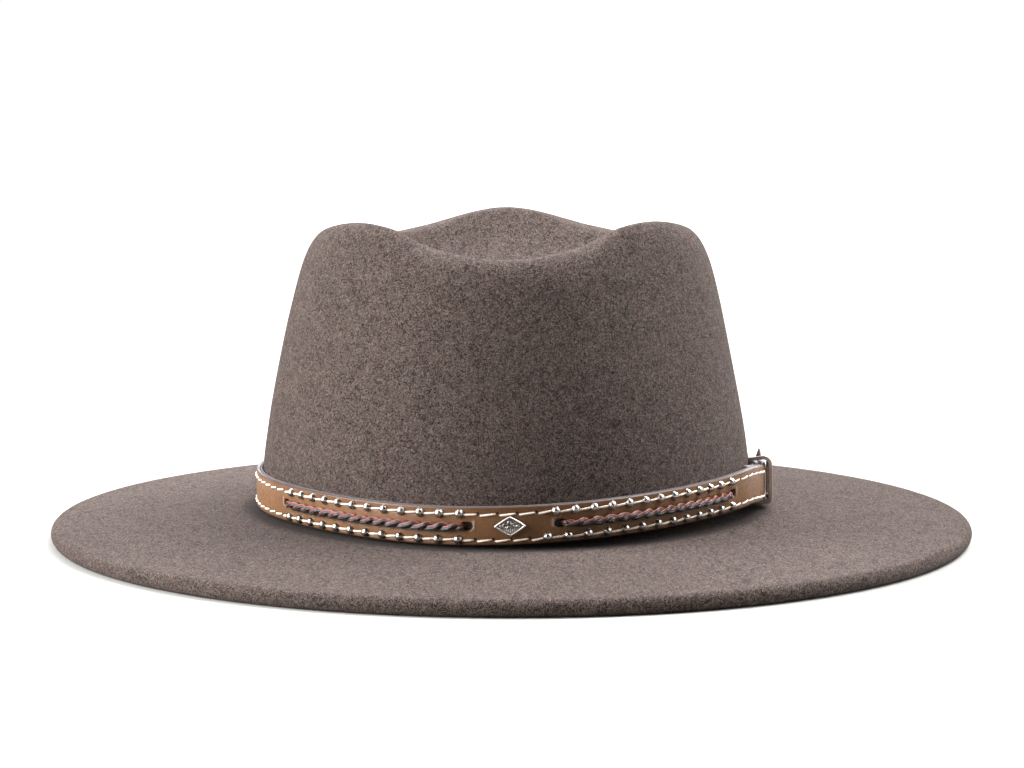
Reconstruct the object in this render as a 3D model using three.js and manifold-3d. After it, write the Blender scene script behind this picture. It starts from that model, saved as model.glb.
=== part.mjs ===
// A felt hat with a dented crown, a flat brim with a turned-under edge, and a studded leather band.
// Millimetres, +Z up. The front of the hat faces -Y and the wearer's left is +X.
// The hat stands on the underside of its brim edge, at z = 0.
import * as THREE from 'three';
import { mergeVertices } from 'three/addons/utils/BufferGeometryUtils.js';
import Module from 'manifold-3d';

const wasm = await Module();
wasm.setup();

// Driving dimensions of the felt
const CROWN_HALF_WIDTH = 86;
const CROWN_HALF_LENGTH = 103.5;
const CROWN_SHIFT = -1.9;
const BRIM_HALF_WIDTH = 162.8;
const BRIM_HALF_LENGTH = 179.5;
const FELT = 2.6;
const EDGE_RADIUS = 3;
const WELT_WIDTH = 11;
const BREAK_HEIGHT = 10.5;
const BRIM_CURVE = 1.25;
const BREAK_FILLET = 2.5;
const STRAIGHT_WALL = 14.5;
const WALL_TAPER = 0.098;
const WALL_TAPER_POWER = 1.3;
const WALL_TAPER_SPAN = 50;
const OVAL_PINCH = 0.03;
const OVAL_FADE = 40;
const FRONT_PINCH = 0.035;
const FRONT_PINCH_ANGLE = 42;
const FRONT_PINCH_SPREAD = 17;
const FRONT_PINCH_START = 25;
const FRONT_PINCH_RISE = 75;
const FRONT_PINCH_POWER = 1.5;
const FRONT_PINCH_LIMIT = 1.2;
const RIM_TILT = 0.3;

// Rim round the dent, one row for each direction in degrees from the front; both sides are alike.
// height: above the break; crest: share of the crown's half size; shoulder: depth of the rounding
// below the crest; bluntness: power of the rounding, 2 is a quarter ellipse and more is squarer.
const RIM = [
  { angle: 0, height: 93.8, crest: 0.762, shoulder: 12, bluntness: 2.6 },
  { angle: 25, height: 97.3, crest: 0.705, shoulder: 14, bluntness: 2.6 },
  { angle: 40, height: 102.9, crest: 0.71, shoulder: 17, bluntness: 2.8 },
  { angle: 60, height: 103.4, crest: 0.697, shoulder: 23, bluntness: 2.9 },
  { angle: 90, height: 98.5, crest: 0.69, shoulder: 23, bluntness: 3.1 },
  { angle: 120, height: 94, crest: 0.585, shoulder: 26, bluntness: 2.6 },
  { angle: 145, height: 95.8, crest: 0.53, shoulder: 29, bluntness: 2.8 },
  { angle: 180, height: 101.4, crest: 0.56, shoulder: 28, bluntness: 2.8 },
];

// Dent in the top
const DENT_FLOOR = 80;
const DENT_CENTRE_Y = -8;
const DENT_SLOPE = 0.4;
const DENT_FOLD = 5;
const DENT_EVENNESS = 0.9;
const DENT_SPACING = 0.8;

// Faces of the felt: directions round the hat, and steps along the section
const FELT_SIDES = 44;
const DENT_STEPS = 8;
const SHOULDER_STEPS = 7;
const WALL_STEPS = 6;
const FILLET_STEPS = 2;
const BRIM_STEPS = 6;
const EDGE_STEPS = 4;

// Driving dimensions of the band
const GAP = 0.3;
const STRAP_BOTTOM = 12.4;
const STRAP_HEIGHT = 12.8;
const STRAP_THICKNESS = 2;
const STRAP_CORNER = 0.5;
const STRAP_CLEARANCE = 0.45;
const STRAP_TILT = 1;
const STRAP_STEPS = 96;
const STRAP_TIP_ROUNDING = 4;
const STRAP_TIP_STEPS = 3;
const STRAP_TIP_TURN = 85;

// Course of the strap, in degrees from the front towards the wearer's left, from its inner end
// before the buckle backwards round the crown to its tip.
// stand: distance off the crown's wall; lift: rise above the band's own level.
const STRAP_COURSE = [
  { angle: 74, stand: STRAP_CLEARANCE, lift: 1.7 },
  { angle: 83, stand: 1.4, lift: 0.4 },
  { angle: 88, stand: 1.4, lift: -0.1 },
  { angle: 103, stand: 1.4, lift: -2 },
  { angle: 112, stand: 1.4, lift: 0.2 },
  { angle: 118, stand: 1.4, lift: 0.2 },
  { angle: 132, stand: STRAP_CLEARANCE, lift: -0.5 },
  { angle: 200, stand: STRAP_CLEARANCE, lift: -0.6 },
  { angle: 300, stand: STRAP_CLEARANCE, lift: 0.45 },
  { angle: 345, stand: STRAP_CLEARANCE, lift: -0.55 },
  { angle: 414, stand: STRAP_CLEARANCE, lift: 1.2 },
  { angle: 430, stand: 2.9, lift: 2 },
  { angle: 448, stand: 3.9, lift: -0.1 },
  { angle: 463, stand: 3.9, lift: -2 },
  { angle: 472, stand: 3.9, lift: 0.2 },
  { angle: 484, stand: 3.9, lift: 0.2 },
];
const TURN = 360;

// Studs, one row of the table for each row of studs.
// first: place of the first stud along the band from the front; pitch: step to the next;
// level: height above the strap's lower edge.
const STUD_ROWS = [
  { name: 'upper_left', first: -92.6, pitch: 7, count: 12, level: 10.6 },
  { name: 'lower_left', first: -94.6, pitch: 7.15, count: 12, level: 1.95 },
  { name: 'upper_right', first: 16.9, pitch: 6.86, count: 13, level: 10.6 },
  { name: 'lower_right', first: 14.1, pitch: 7.2, count: 13, level: 2.1 },
];
const STUD_RADIUS = 1.55;
const STUD_HEIGHT = 1.35;
const STUD_SIDES = 12;

// Laces: places along the band of the two holes that each lace runs between
const LACES = [
  { name: 'lace_left', from: -97, to: -13 },
  { name: 'lace_right', from: 18.4, to: 100.4 },
];
const LACE_LEVEL = 6.4;
const LACE_HALF_HEIGHT = 1.75;
const LACE_HALF_DEPTH = 1.15;
const LACE_END_SHARE = 0.5;
const LACE_END_LENGTH = 7;
const LACE_DIVE = 1.2;
const LACE_SIDES = 8;
const LACE_STEP = 3.5;
const HOLE_HALF_LENGTH = 2.1;
const HOLE_HALF_HEIGHT = 1.4;
const HOLE_SIDES = 8;

// Concho at the front
const CONCHO_PLACE = 1.4;
const CONCHO_HALF_WIDTH = 5.4;
const CONCHO_HALF_HEIGHT = 3.4;
const CONCHO_BASE = 1;
const CONCHO_RELIEF = 0.6;
const CONCHO_RIM = 0.8;
const CONCHO_BEVEL = 0.35;
const CONCHO_SCROLL_RADIUS = 0.32;
const CONCHO_SINK = 0.05;

// Scrolls on the concho: centre, radius, and the stretch of arc in degrees
const CONCHO_SCROLLS = [
  { across: -1.5, up: -0.2, radius: 1.15, from: 20, to: 200 },
  { across: 1.3, up: -0.1, radius: 1.15, from: -20, to: 160 },
  { across: 0, up: 1, radius: 0.8, from: 200, to: 340 },
  { across: -0.1, up: -1.5, radius: 0.9, from: 20, to: 160 },
];

// Buckle at the wearer's left: a sleeve round both turns of the strap. NEAR and OUT are distances
// off the crown's wall, RISE is the room over the strap, and PLACE is a distance behind the
// front end of the buckle.
const BUCKLE_ANGLE = 84;
const BUCKLE_LENGTH = 11;
const BUCKLE_NEAR = 0.3;
const BUCKLE_BACK = 0.8;
const BUCKLE_OUT = 8.5;
const BUCKLE_BAR = 1.4;
const BUCKLE_SLOPE = 0.6;
const BUCKLE_LOWER_BAR = 0.8;
const BUCKLE_RISE = 1.3;
const BUCKLE_BAR_WIDTH = 3;
const BUCKLE_CORNER = 2.6;
const BUCKLE_PRONG_HALF = 0.8;
const BUCKLE_PRONG_SINK = 0.2;
const BUCKLE_POINT_OFF = 4.4;
const BUCKLE_POINT_PLACE = 2.6;
const BUCKLE_POINT_HALF = 1.7;
const BUCKLE_POINT_RISE = 2.8;

// Keeper behind the buckle
const KEEPER_ANGLE = 113;
const KEEPER_LENGTH = 6;
const KEEPER_NEAR = 0.3;
const KEEPER_BACK = 0.8;
const KEEPER_OUT = 7.5;
const KEEPER_BAR = 1.2;
const CLASP_STEP = 4;
const CUT_PAST = 1;

const FULL_CIRCLE = 2 * Math.PI;
const ARC_SAMPLES = 720;

function material(color, roughness, metalness) {
  return new THREE.MeshStandardMaterial({ color, roughness, metalness });
}

function part(name, geometry, finish) {
  const mesh = new THREE.Mesh(geometry, finish);
  mesh.name = name;
  return mesh;
}

// Value of one column of the rim table in a direction, on a smooth curve through the rows
function rimValue(column, direction) {
  const turned = Math.atan2(Math.sin(direction), Math.cos(direction));
  const degrees = THREE.MathUtils.radToDeg(Math.abs(turned));
  const last = RIM.length - 1;
  let i = 0;
  while (i < last - 1 && RIM[i + 1].angle <= degrees) {
    i += 1;
  }
  const slopeAt = (k) => {
    if (k === 0 || k === last) {
      return 0;
    }
    return (RIM[k + 1][column] - RIM[k - 1][column]) / (RIM[k + 1].angle - RIM[k - 1].angle);
  };
  const width = RIM[i + 1].angle - RIM[i].angle;
  const u = (degrees - RIM[i].angle) / width;
  const start = (1 + 2 * u) * (1 - u) ** 2 * RIM[i][column] + u * (1 - u) ** 2 * width * slopeAt(i);
  const end = u * u * (3 - 2 * u) * RIM[i + 1][column] + u * u * (u - 1) * width * slopeAt(i + 1);
  return start + end;
}

// Height of the rim above the break: the table, and a slight tilt to one side
function rimHeight(direction) {
  return rimValue('height', direction) + RIM_TILT * Math.sin(direction);
}

// How far the crown's wall is drawn in at a height above the break, as a share of its half size
function wallShare(height, direction) {
  const risen = Math.max(height - STRAIGHT_WALL, 0) / WALL_TAPER_SPAN;
  const taper = 1 - WALL_TAPER * risen ** WALL_TAPER_POWER;
  const oval = 1 - OVAL_PINCH * Math.exp(-Math.max(height, 0) / OVAL_FADE) * Math.sin(2 * direction) ** 2;
  const turned = Math.abs(Math.atan2(Math.sin(direction), Math.cos(direction)));
  const fromPinch = (THREE.MathUtils.radToDeg(turned) - FRONT_PINCH_ANGLE) / FRONT_PINCH_SPREAD;
  const rise = THREE.MathUtils.clamp((height - FRONT_PINCH_START) / FRONT_PINCH_RISE, 0, FRONT_PINCH_LIMIT);
  const pinch = 1 - FRONT_PINCH * rise ** FRONT_PINCH_POWER * Math.exp(-(fromPinch ** 2));
  return taper * oval * pinch;
}

// Point at a share of the crown's half size, moved off by a distance, at a height above the break
function crownPoint(share, off, direction, height) {
  return new THREE.Vector3(
    (CROWN_HALF_WIDTH * share + off) * Math.sin(direction) + CROWN_SHIFT,
    -(CROWN_HALF_LENGTH * share + off) * Math.cos(direction),
    BREAK_HEIGHT + height,
  );
}

// Point on the brim: reach is 0 at the crown and 1 at the edge
function brimPoint(reach, direction, z) {
  const base = crownPoint(wallShare(0, direction), 0, direction, 0);
  const across = BRIM_HALF_WIDTH * Math.sin(direction);
  const edge = new THREE.Vector3(across, -BRIM_HALF_LENGTH * Math.cos(direction), 0);
  const point = base.lerp(edge, reach);
  point.z = z;
  return point;
}

// Reach at a distance in from the edge or out from the crown, in mm
function reachOf(distance) {
  return distance / (BRIM_HALF_WIDTH - CROWN_HALF_WIDTH);
}

function brimHeight(reach) {
  const last = 1 - reachOf(EDGE_RADIUS);
  const drop = BREAK_HEIGHT - 2 * EDGE_RADIUS;
  return BREAK_HEIGHT - drop * (Math.max(reach, 0) / last) ** BRIM_CURVE;
}

// Upper side of the felt in one direction, from the middle of the dent out to the brim edge
function feltSection(direction) {
  const height = rimHeight(direction);
  const crest = rimValue('crest', direction);
  const shoulder = rimValue('shoulder', direction);
  const bluntness = rimValue('bluntness', direction);
  const section = [];
  const rim = crownPoint(crest, 0, direction, height);
  const centre = new THREE.Vector3(CROWN_SHIFT, DENT_CENTRE_Y, 0);
  const span = Math.hypot(rim.x - centre.x, rim.y - centre.y);
  const depth = height - DENT_FLOOR;
  const fall = (distance) => {
    const soft = Math.hypot(distance, DENT_SLOPE * DENT_FOLD) - DENT_SLOPE * DENT_FOLD;
    return Math.tanh((DENT_SLOPE * soft) / (DENT_EVENNESS * depth));
  };
  for (let i = 0; i < DENT_STEPS; i += 1) {
    const share = (i / DENT_STEPS) ** DENT_SPACING;
    const left = 1 - fall((1 - share) * span) / fall(span);
    const z = BREAK_HEIGHT + height - depth * (1 - left ** 2);
    section.push(new THREE.Vector3(
      centre.x + (rim.x - centre.x) * share,
      centre.y + (rim.y - centre.y) * share,
      z,
    ));
  }
  const inset = wallShare(height, direction) - crest;
  for (let i = SHOULDER_STEPS; i > 0; i -= 1) {
    const turn = (Math.PI / 2) * (i / SHOULDER_STEPS);
    const up = height - shoulder + shoulder * Math.sin(turn) ** (2 / bluntness);
    const share = wallShare(up, direction) - inset * (1 - Math.cos(turn) ** (2 / bluntness));
    section.push(crownPoint(share, 0, direction, up));
  }
  for (let i = WALL_STEPS; i >= 0; i -= 1) {
    const up = BREAK_FILLET + (height - shoulder - BREAK_FILLET) * (i / WALL_STEPS);
    section.push(crownPoint(wallShare(up, direction), 0, direction, up));
  }
  const wallFoot = crownPoint(wallShare(BREAK_FILLET, direction), 0, direction, BREAK_FILLET);
  const first = reachOf(BREAK_FILLET);
  const brimStart = brimPoint(first, direction, brimHeight(first));
  const corner = brimPoint(0, direction, BREAK_HEIGHT);
  const bend = new THREE.QuadraticBezierCurve3(wallFoot, corner, brimStart);
  for (let i = 1; i <= FILLET_STEPS; i += 1) {
    section.push(bend.getPoint(i / FILLET_STEPS));
  }
  const last = 1 - reachOf(EDGE_RADIUS);
  for (let i = 1; i <= BRIM_STEPS; i += 1) {
    const reach = first + (last - first) * (i / BRIM_STEPS);
    section.push(brimPoint(reach, direction, brimHeight(reach)));
  }
  return section;
}

// Round edge of the brim, and the flat ring under it that the hat stands on
function edgeSection(direction) {
  const section = [];
  const last = 1 - reachOf(EDGE_RADIUS);
  for (let i = 1; i <= EDGE_STEPS; i += 1) {
    const turn = Math.PI * (0.5 - i / EDGE_STEPS);
    const reach = last + reachOf(EDGE_RADIUS) * Math.cos(turn);
    section.push(brimPoint(reach, direction, EDGE_RADIUS * (1 + Math.sin(turn))));
  }
  section.push(brimPoint(1 - reachOf(WELT_WIDTH), direction, 0));
  return section;
}

// Closed surface through rings of points, each ring run through in the same sense.
// The first and last rings are closed to one point each.
function ringSurface(rings, firstPoint, lastPoint) {
  const sides = rings[0].length;
  const positions = [];
  rings.forEach((ring) => ring.forEach((p) => positions.push(p.x, p.y, p.z)));
  const firstIndex = rings.length * sides;
  positions.push(firstPoint.x, firstPoint.y, firstPoint.z, lastPoint.x, lastPoint.y, lastPoint.z);
  const faces = [];
  for (let side = 0; side < sides; side += 1) {
    const next = (side + 1) % sides;
    faces.push(firstIndex, side, next);
    for (let i = 0; i + 1 < rings.length; i += 1) {
      const a = i * sides + side;
      const b = i * sides + next;
      faces.push(a, a + sides, b, b, a + sides, b + sides);
    }
    const end = (rings.length - 1) * sides;
    faces.push(firstIndex + 1, end + next, end + side);
  }
  const geometry = new THREE.BufferGeometry();
  geometry.setAttribute('position', new THREE.Float32BufferAttribute(positions, 3));
  geometry.setIndex(faces);
  return geometry;
}

// The felt's inner side: every point of the upper side moved in by the felt's thickness
function innerRings(rings, middle) {
  const sides = rings[0].length;
  return rings.map((ring, i) => ring.map((p, k) => {
    const before = i > 0 ? rings[i - 1][k] : middle;
    const after = rings[Math.min(i + 1, rings.length - 1)][k];
    const along = after.clone().sub(before);
    const round = ring[(k + 1) % sides].clone().sub(ring[(k + sides - 1) % sides]);
    const inwards = round.cross(along).normalize();
    return p.clone().addScaledVector(inwards, FELT);
  }));
}

function feltBody() {
  const directions = Array.from({ length: FELT_SIDES }, (unused, k) => (FULL_CIRCLE * k) / FELT_SIDES);
  const sections = directions.map(feltSection);
  const edges = directions.map(edgeSection);
  const middle = sections[0][0];
  const upper = sections[0].map((unused, i) => sections.map((section) => section[i])).slice(1);
  const edge = edges[0].map((unused, i) => edges.map((section) => section[i]));
  const inner = innerRings(upper, middle);
  const welt = reachOf(WELT_WIDTH);
  const last = 1 - reachOf(EDGE_RADIUS);
  const pace = (last - reachOf(BREAK_FILLET)) / BRIM_STEPS;
  const reachAt = (i) => last - (upper.length - 1 - i) * pace;
  const kept = inner.filter((unused, i) => reachAt(i) < 1 - welt - reachOf(FELT));
  const step = directions.map((d) => brimPoint(1 - welt, d, brimHeight(1 - welt) - FELT));
  const rings = [...upper, ...edge, step, ...kept.reverse()];
  const ceiling = middle.clone();
  ceiling.z -= FELT;
  return ringSurface(rings, middle, ceiling);
}

// Places along the band: a table of arc length against direction, from the front
const bandTable = (() => {
  const table = [{ direction: -Math.PI, place: 0 }];
  const height = STRAP_BOTTOM + STRAP_HEIGHT / 2 - BREAK_HEIGHT;
  const at = (d) => crownPoint(wallShare(height, d), STRAP_CLEARANCE + STRAP_THICKNESS, d, height);
  for (let i = 1; i <= ARC_SAMPLES; i += 1) {
    const direction = -Math.PI + (FULL_CIRCLE * i) / ARC_SAMPLES;
    const step = at(direction).distanceTo(at(table[i - 1].direction));
    table.push({ direction, place: table[i - 1].place + step });
  }
  const front = table[ARC_SAMPLES / 2].place;
  return table.map((row) => ({ direction: row.direction, place: row.place - front }));
})();

// Direction, in degrees from the front, of a place along the band
function angleAt(place) {
  const i = bandTable.findIndex((row) => row.place > place);
  const before = bandTable[i - 1];
  const after = bandTable[i];
  const share = (place - before.place) / (after.place - before.place);
  return THREE.MathUtils.radToDeg(before.direction + (after.direction - before.direction) * share);
}

// Value of one column of the strap's course, levelling out at every row
function courseValue(column, angle) {
  const last = STRAP_COURSE.length - 1;
  const at = THREE.MathUtils.clamp(angle, STRAP_COURSE[0].angle, STRAP_COURSE[last].angle);
  let i = 0;
  while (i < last - 1 && STRAP_COURSE[i + 1].angle < at) {
    i += 1;
  }
  const from = STRAP_COURSE[i];
  const to = STRAP_COURSE[i + 1];
  return THREE.MathUtils.lerp(from[column], to[column], THREE.MathUtils.smoothstep(at, from.angle, to.angle));
}

// Point of the band: off is the distance from the crown's wall, and level is the height
// over the strap's lower edge
function bandPoint(angle, off, level, lift) {
  const direction = THREE.MathUtils.degToRad(angle);
  const z = STRAP_BOTTOM + level + lift + STRAP_TILT * Math.sin(direction);
  const height = z - BREAK_HEIGHT;
  return crownPoint(wallShare(height, direction), off, direction, height);
}

// Point on the strap's outer face, seen from the front half of the band
function strapFace(place, level, out) {
  const angle = angleAt(place);
  const course = angle + TURN;
  const off = courseValue('stand', course) + STRAP_THICKNESS + out;
  return bandPoint(angle, off, level, courseValue('lift', course));
}

// Solid strip: a closed outline, given for each station, swept from station to station
function sweptStrip(outlines) {
  const middleOf = (outline) => {
    const sum = outline.reduce((total, p) => total.add(p), new THREE.Vector3());
    return sum.divideScalar(outline.length);
  };
  return ringSurface(outlines, middleOf(outlines[0]), middleOf(outlines[outlines.length - 1]));
}

// Outline of the strap's section: off and level of eight points, with the corners cut
function strapOutline(angle, trim) {
  const stand = courseValue('stand', angle);
  const lift = courseValue('lift', angle);
  const low = trim;
  const high = STRAP_HEIGHT - trim;
  const c = STRAP_CORNER;
  const t = STRAP_THICKNESS;
  const corners = [[c, low], [t - c, low], [t, low + c], [t, high - c], [t - c, high], [c, high],
    [0, high - c], [0, low + c]];
  return corners.map(([off, level]) => bandPoint(angle, stand + off, level, lift));
}

function strapSolid() {
  const first = STRAP_COURSE[0].angle;
  const last = STRAP_COURSE[STRAP_COURSE.length - 1].angle;
  const outlines = [];
  for (let i = 0; i <= STRAP_STEPS; i += 1) {
    outlines.push(strapOutline(first + ((last - first) * i) / STRAP_STEPS, 0));
  }
  for (let i = 1; i <= STRAP_TIP_STEPS; i += 1) {
    const turn = THREE.MathUtils.degToRad((STRAP_TIP_TURN * i) / STRAP_TIP_STEPS);
    const further = THREE.MathUtils.radToDeg((STRAP_TIP_ROUNDING * Math.sin(turn)) / CROWN_HALF_LENGTH);
    outlines.push(strapOutline(last + further, STRAP_TIP_ROUNDING * (1 - Math.cos(turn))));
  }
  return sweptStrip(outlines);
}

function toSolid(geometry) {
  const bare = geometry.clone();
  bare.deleteAttribute('normal');
  bare.deleteAttribute('uv');
  const merged = mergeVertices(bare, 1e-4);
  return new wasm.Manifold(new wasm.Mesh({
    numProp: 3,
    vertProperties: new Float32Array(merged.attributes.position.array),
    triVerts: new Uint32Array(merged.index.array),
  }));
}

function toGeometry(solid) {
  const mesh = solid.getMesh();
  const geometry = new THREE.BufferGeometry();
  geometry.setAttribute('position', new THREE.BufferAttribute(mesh.vertProperties, 3));
  geometry.setIndex(new THREE.BufferAttribute(mesh.triVerts, 1));
  return geometry;
}

// Directions of the band at a place: along it, up and out of it
function bandAxes(place, level) {
  const here = strapFace(place, level, 0);
  const along = strapFace(place + 0.5, level, 0).sub(strapFace(place - 0.5, level, 0)).normalize();
  const out = along.clone().cross(new THREE.Vector3(0, 0, 1)).normalize();
  const up = out.clone().cross(along);
  return { here, along, up, out };
}

// Puts a geometry made in the plane z = 0 onto the strap: x along it, y up, z out of it
function placeOnStrap(geometry, place, level, out) {
  const axes = bandAxes(place, level);
  const matrix = new THREE.Matrix4().makeBasis(axes.along, axes.up, axes.out);
  matrix.setPosition(axes.here.clone().addScaledVector(axes.out, out));
  geometry.applyMatrix4(matrix);
  return geometry;
}

// Round-ended hole right through the strap
function laceHole(place) {
  const outline = new THREE.Shape();
  const straight = HOLE_HALF_LENGTH - HOLE_HALF_HEIGHT;
  outline.absarc(straight, 0, HOLE_HALF_HEIGHT, -Math.PI / 2, Math.PI / 2);
  outline.absarc(-straight, 0, HOLE_HALF_HEIGHT, Math.PI / 2, 1.5 * Math.PI);
  const depth = 4 * STRAP_THICKNESS;
  const hole = new THREE.ExtrudeGeometry(outline, {
    depth,
    bevelEnabled: false,
    curveSegments: HOLE_SIDES / 2,
  });
  hole.translate(0, 0, -depth / 2);
  return toSolid(placeOnStrap(hole, place, LACE_LEVEL, 0));
}

function bandStrap() {
  let strap = toSolid(strapSolid());
  LACES.forEach((lace) => {
    strap = strap.subtract(laceHole(lace.from)).subtract(laceHole(lace.to));
  });
  return toGeometry(strap);
}

// Lace: an oval bundle on the strap that grows thin at both ends and dives into its holes
function laceBundle(lace) {
  const length = lace.to - lace.from;
  const steps = Math.round((length - 2 * LACE_END_LENGTH) / LACE_STEP);
  const stations = [0, LACE_DIVE, 2 * LACE_DIVE, 4 * LACE_DIVE];
  for (let i = 0; i <= steps; i += 1) {
    stations.push(THREE.MathUtils.lerp(LACE_END_LENGTH, length - LACE_END_LENGTH, i / steps));
  }
  stations.push(length - 4 * LACE_DIVE, length - 2 * LACE_DIVE, length - LACE_DIVE, length);
  const outlines = [];
  stations.forEach((station) => {
    const place = lace.from + station;
    const fromEnd = Math.min(station, length - station);
    const full = THREE.MathUtils.smoothstep(fromEnd, 0, LACE_END_LENGTH);
    const size = THREE.MathUtils.lerp(LACE_END_SHARE, 1, full);
    const risen = Math.min(fromEnd / LACE_DIVE, 1);
    const out = THREE.MathUtils.lerp(-STRAP_THICKNESS / 2, LACE_HALF_DEPTH * size + GAP, risen);
    const outline = [];
    for (let k = 0; k < LACE_SIDES; k += 1) {
      const turn = (FULL_CIRCLE * k) / LACE_SIDES;
      const level = LACE_LEVEL + LACE_HALF_HEIGHT * size * Math.sin(turn);
      outline.push(strapFace(place, level, out + LACE_HALF_DEPTH * size * Math.cos(turn)));
    }
    outlines.push(outline);
  });
  return sweptStrip(outlines);
}

// Domed stud standing on the strap
function stud(place, level) {
  const profile = [[0, 0], [STUD_RADIUS, 0], [STUD_RADIUS * 0.74, STUD_HEIGHT * 0.68], [0, STUD_HEIGHT]];
  const dome = new THREE.LatheGeometry(profile.map(([x, y]) => new THREE.Vector2(x, y)), STUD_SIDES);
  dome.rotateX(Math.PI / 2);
  return toGeometry(toSolid(placeOnStrap(dome, place, level, GAP)));
}

function diamond(halfWidth, halfHeight) {
  const shape = new THREE.Shape();
  shape.moveTo(-halfWidth, 0);
  shape.lineTo(0, -halfHeight);
  shape.lineTo(halfWidth, 0);
  shape.lineTo(0, halfHeight);
  shape.closePath();
  return shape;
}

// Diamond plate with a raised rim and raised scrolls
function concho() {
  const inner = 1 - CONCHO_BEVEL / CONCHO_HALF_HEIGHT;
  const plate = new THREE.ExtrudeGeometry(diamond(CONCHO_HALF_WIDTH * inner, CONCHO_HALF_HEIGHT * inner), {
    depth: CONCHO_BASE - CONCHO_BEVEL,
    bevelThickness: CONCHO_BEVEL,
    bevelSize: CONCHO_BEVEL,
    bevelSegments: 1,
  });
  plate.translate(0, 0, CONCHO_BEVEL);
  const rimShape = diamond(CONCHO_HALF_WIDTH * inner, CONCHO_HALF_HEIGHT * inner);
  const window = 1 - CONCHO_RIM / CONCHO_HALF_HEIGHT;
  rimShape.holes.push(diamond(CONCHO_HALF_WIDTH * inner * window, CONCHO_HALF_HEIGHT * inner * window));
  const rim = new THREE.ExtrudeGeometry(rimShape, {
    depth: CONCHO_BASE + CONCHO_RELIEF / 2,
    bevelEnabled: false,
  });
  let solid = toSolid(plate).add(toSolid(rim));
  CONCHO_SCROLLS.forEach((scroll) => {
    const points = [0, 0.25, 0.5, 0.75, 1].map((share) => {
      const turn = THREE.MathUtils.degToRad(THREE.MathUtils.lerp(scroll.from, scroll.to, share));
      return new THREE.Vector3(
        scroll.across + scroll.radius * Math.cos(turn),
        scroll.up + scroll.radius * Math.sin(turn),
        CONCHO_BASE + CONCHO_SINK,
      );
    });
    const section = new THREE.Shape();
    section.absarc(0, 0, CONCHO_SCROLL_RADIUS, 0, FULL_CIRCLE);
    const tube = new THREE.ExtrudeGeometry(section, {
      steps: 6,
      curveSegments: 3,
      extrudePath: new THREE.CatmullRomCurve3(points),
    });
    solid = solid.add(toSolid(tube));
  });
  return toGeometry(toSolid(placeOnStrap(toGeometry(solid), CONCHO_PLACE, STRAP_HEIGHT / 2, GAP)));
}

// Box in the clasp's own measures, from and to [off, along, level], cut fine enough to bend
function claspBox(from, to) {
  const size = to.map((value, i) => value - from[i]);
  const steps = Math.max(1, Math.round(size[1] / CLASP_STEP));
  const box = new THREE.BoxGeometry(size[0], size[1], size[2], 1, steps, 1);
  box.translate((from[0] + to[0]) / 2, (from[1] + to[1]) / 2, (from[2] + to[2]) / 2);
  return toSolid(box);
}

// Bends a solid given in the clasp's measures round the crown's wall
function bendRound(solid, angle) {
  const geometry = toGeometry(solid);
  const position = geometry.attributes.position;
  const radius = CROWN_HALF_LENGTH;
  for (let i = 0; i < position.count; i += 1) {
    const turned = angle + THREE.MathUtils.radToDeg(position.getY(i) / radius);
    const lift = courseValue('lift', turned + TURN);
    const point = bandPoint(turned, position.getX(i), position.getZ(i), lift);
    position.setXYZ(i, point.x, point.y, point.z);
  }
  return geometry;
}

// Sleeve with rounded outer corners, extruded along the strap. Its top falls by a slope
// towards the crown.
function claspSleeve(length, near, out, low, high, corner, slope) {
  const outline = new THREE.Shape();
  outline.moveTo(near, low);
  outline.lineTo(out - corner / 2, low);
  outline.quadraticCurveTo(out, low, out, low + corner / 2);
  outline.lineTo(out, high - corner);
  outline.quadraticCurveTo(out, high, out - corner, high);
  outline.lineTo(near, high - slope);
  outline.closePath();
  const sleeve = new THREE.ExtrudeGeometry(outline, {
    depth: length,
    steps: Math.max(1, Math.round(length / CLASP_STEP)),
    bevelEnabled: false,
    curveSegments: 4,
  });
  sleeve.rotateX(Math.PI / 2);
  sleeve.translate(0, length, 0);
  return toSolid(sleeve);
}

function buckle() {
  const low = -GAP - BUCKLE_LOWER_BAR;
  const top = STRAP_HEIGHT + GAP + BUCKLE_RISE;
  const high = top + BUCKLE_BAR;
  const far = BUCKLE_OUT + CUT_PAST;
  const past = BUCKLE_LENGTH + CUT_PAST;
  const inside = BUCKLE_OUT - BUCKLE_BAR;
  const back = BUCKLE_NEAR + BUCKLE_BACK;
  const middle = STRAP_HEIGHT / 2;
  const barHalf = BUCKLE_BAR_WIDTH / 2;
  const near = BUCKLE_NEAR;
  let frame = claspSleeve(BUCKLE_LENGTH, near, BUCKLE_OUT, low, high, BUCKLE_CORNER, BUCKLE_SLOPE);
  frame = frame.subtract(claspBox([back, -CUT_PAST, -GAP], [inside, past, top]));
  frame = frame.subtract(claspBox(
    [inside - CUT_PAST, BUCKLE_BAR_WIDTH, barHalf],
    [far, BUCKLE_LENGTH - BUCKLE_BAR_WIDTH, STRAP_HEIGHT - barHalf],
  ));
  frame = frame.add(claspBox(
    [inside + BUCKLE_PRONG_SINK, barHalf, middle - BUCKLE_PRONG_HALF],
    [BUCKLE_OUT - BUCKLE_PRONG_SINK, BUCKLE_LENGTH - barHalf, middle + BUCKLE_PRONG_HALF],
  ));
  const point = new THREE.ConeGeometry(BUCKLE_POINT_HALF, BUCKLE_POINT_RISE + BUCKLE_BAR / 2, 8);
  point.rotateX(Math.PI / 2);
  point.translate(BUCKLE_POINT_OFF, BUCKLE_POINT_PLACE, high + BUCKLE_POINT_RISE / 2 - BUCKLE_BAR / 4);
  frame = frame.add(toSolid(point));
  return bendRound(frame, BUCKLE_ANGLE);
}

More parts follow.
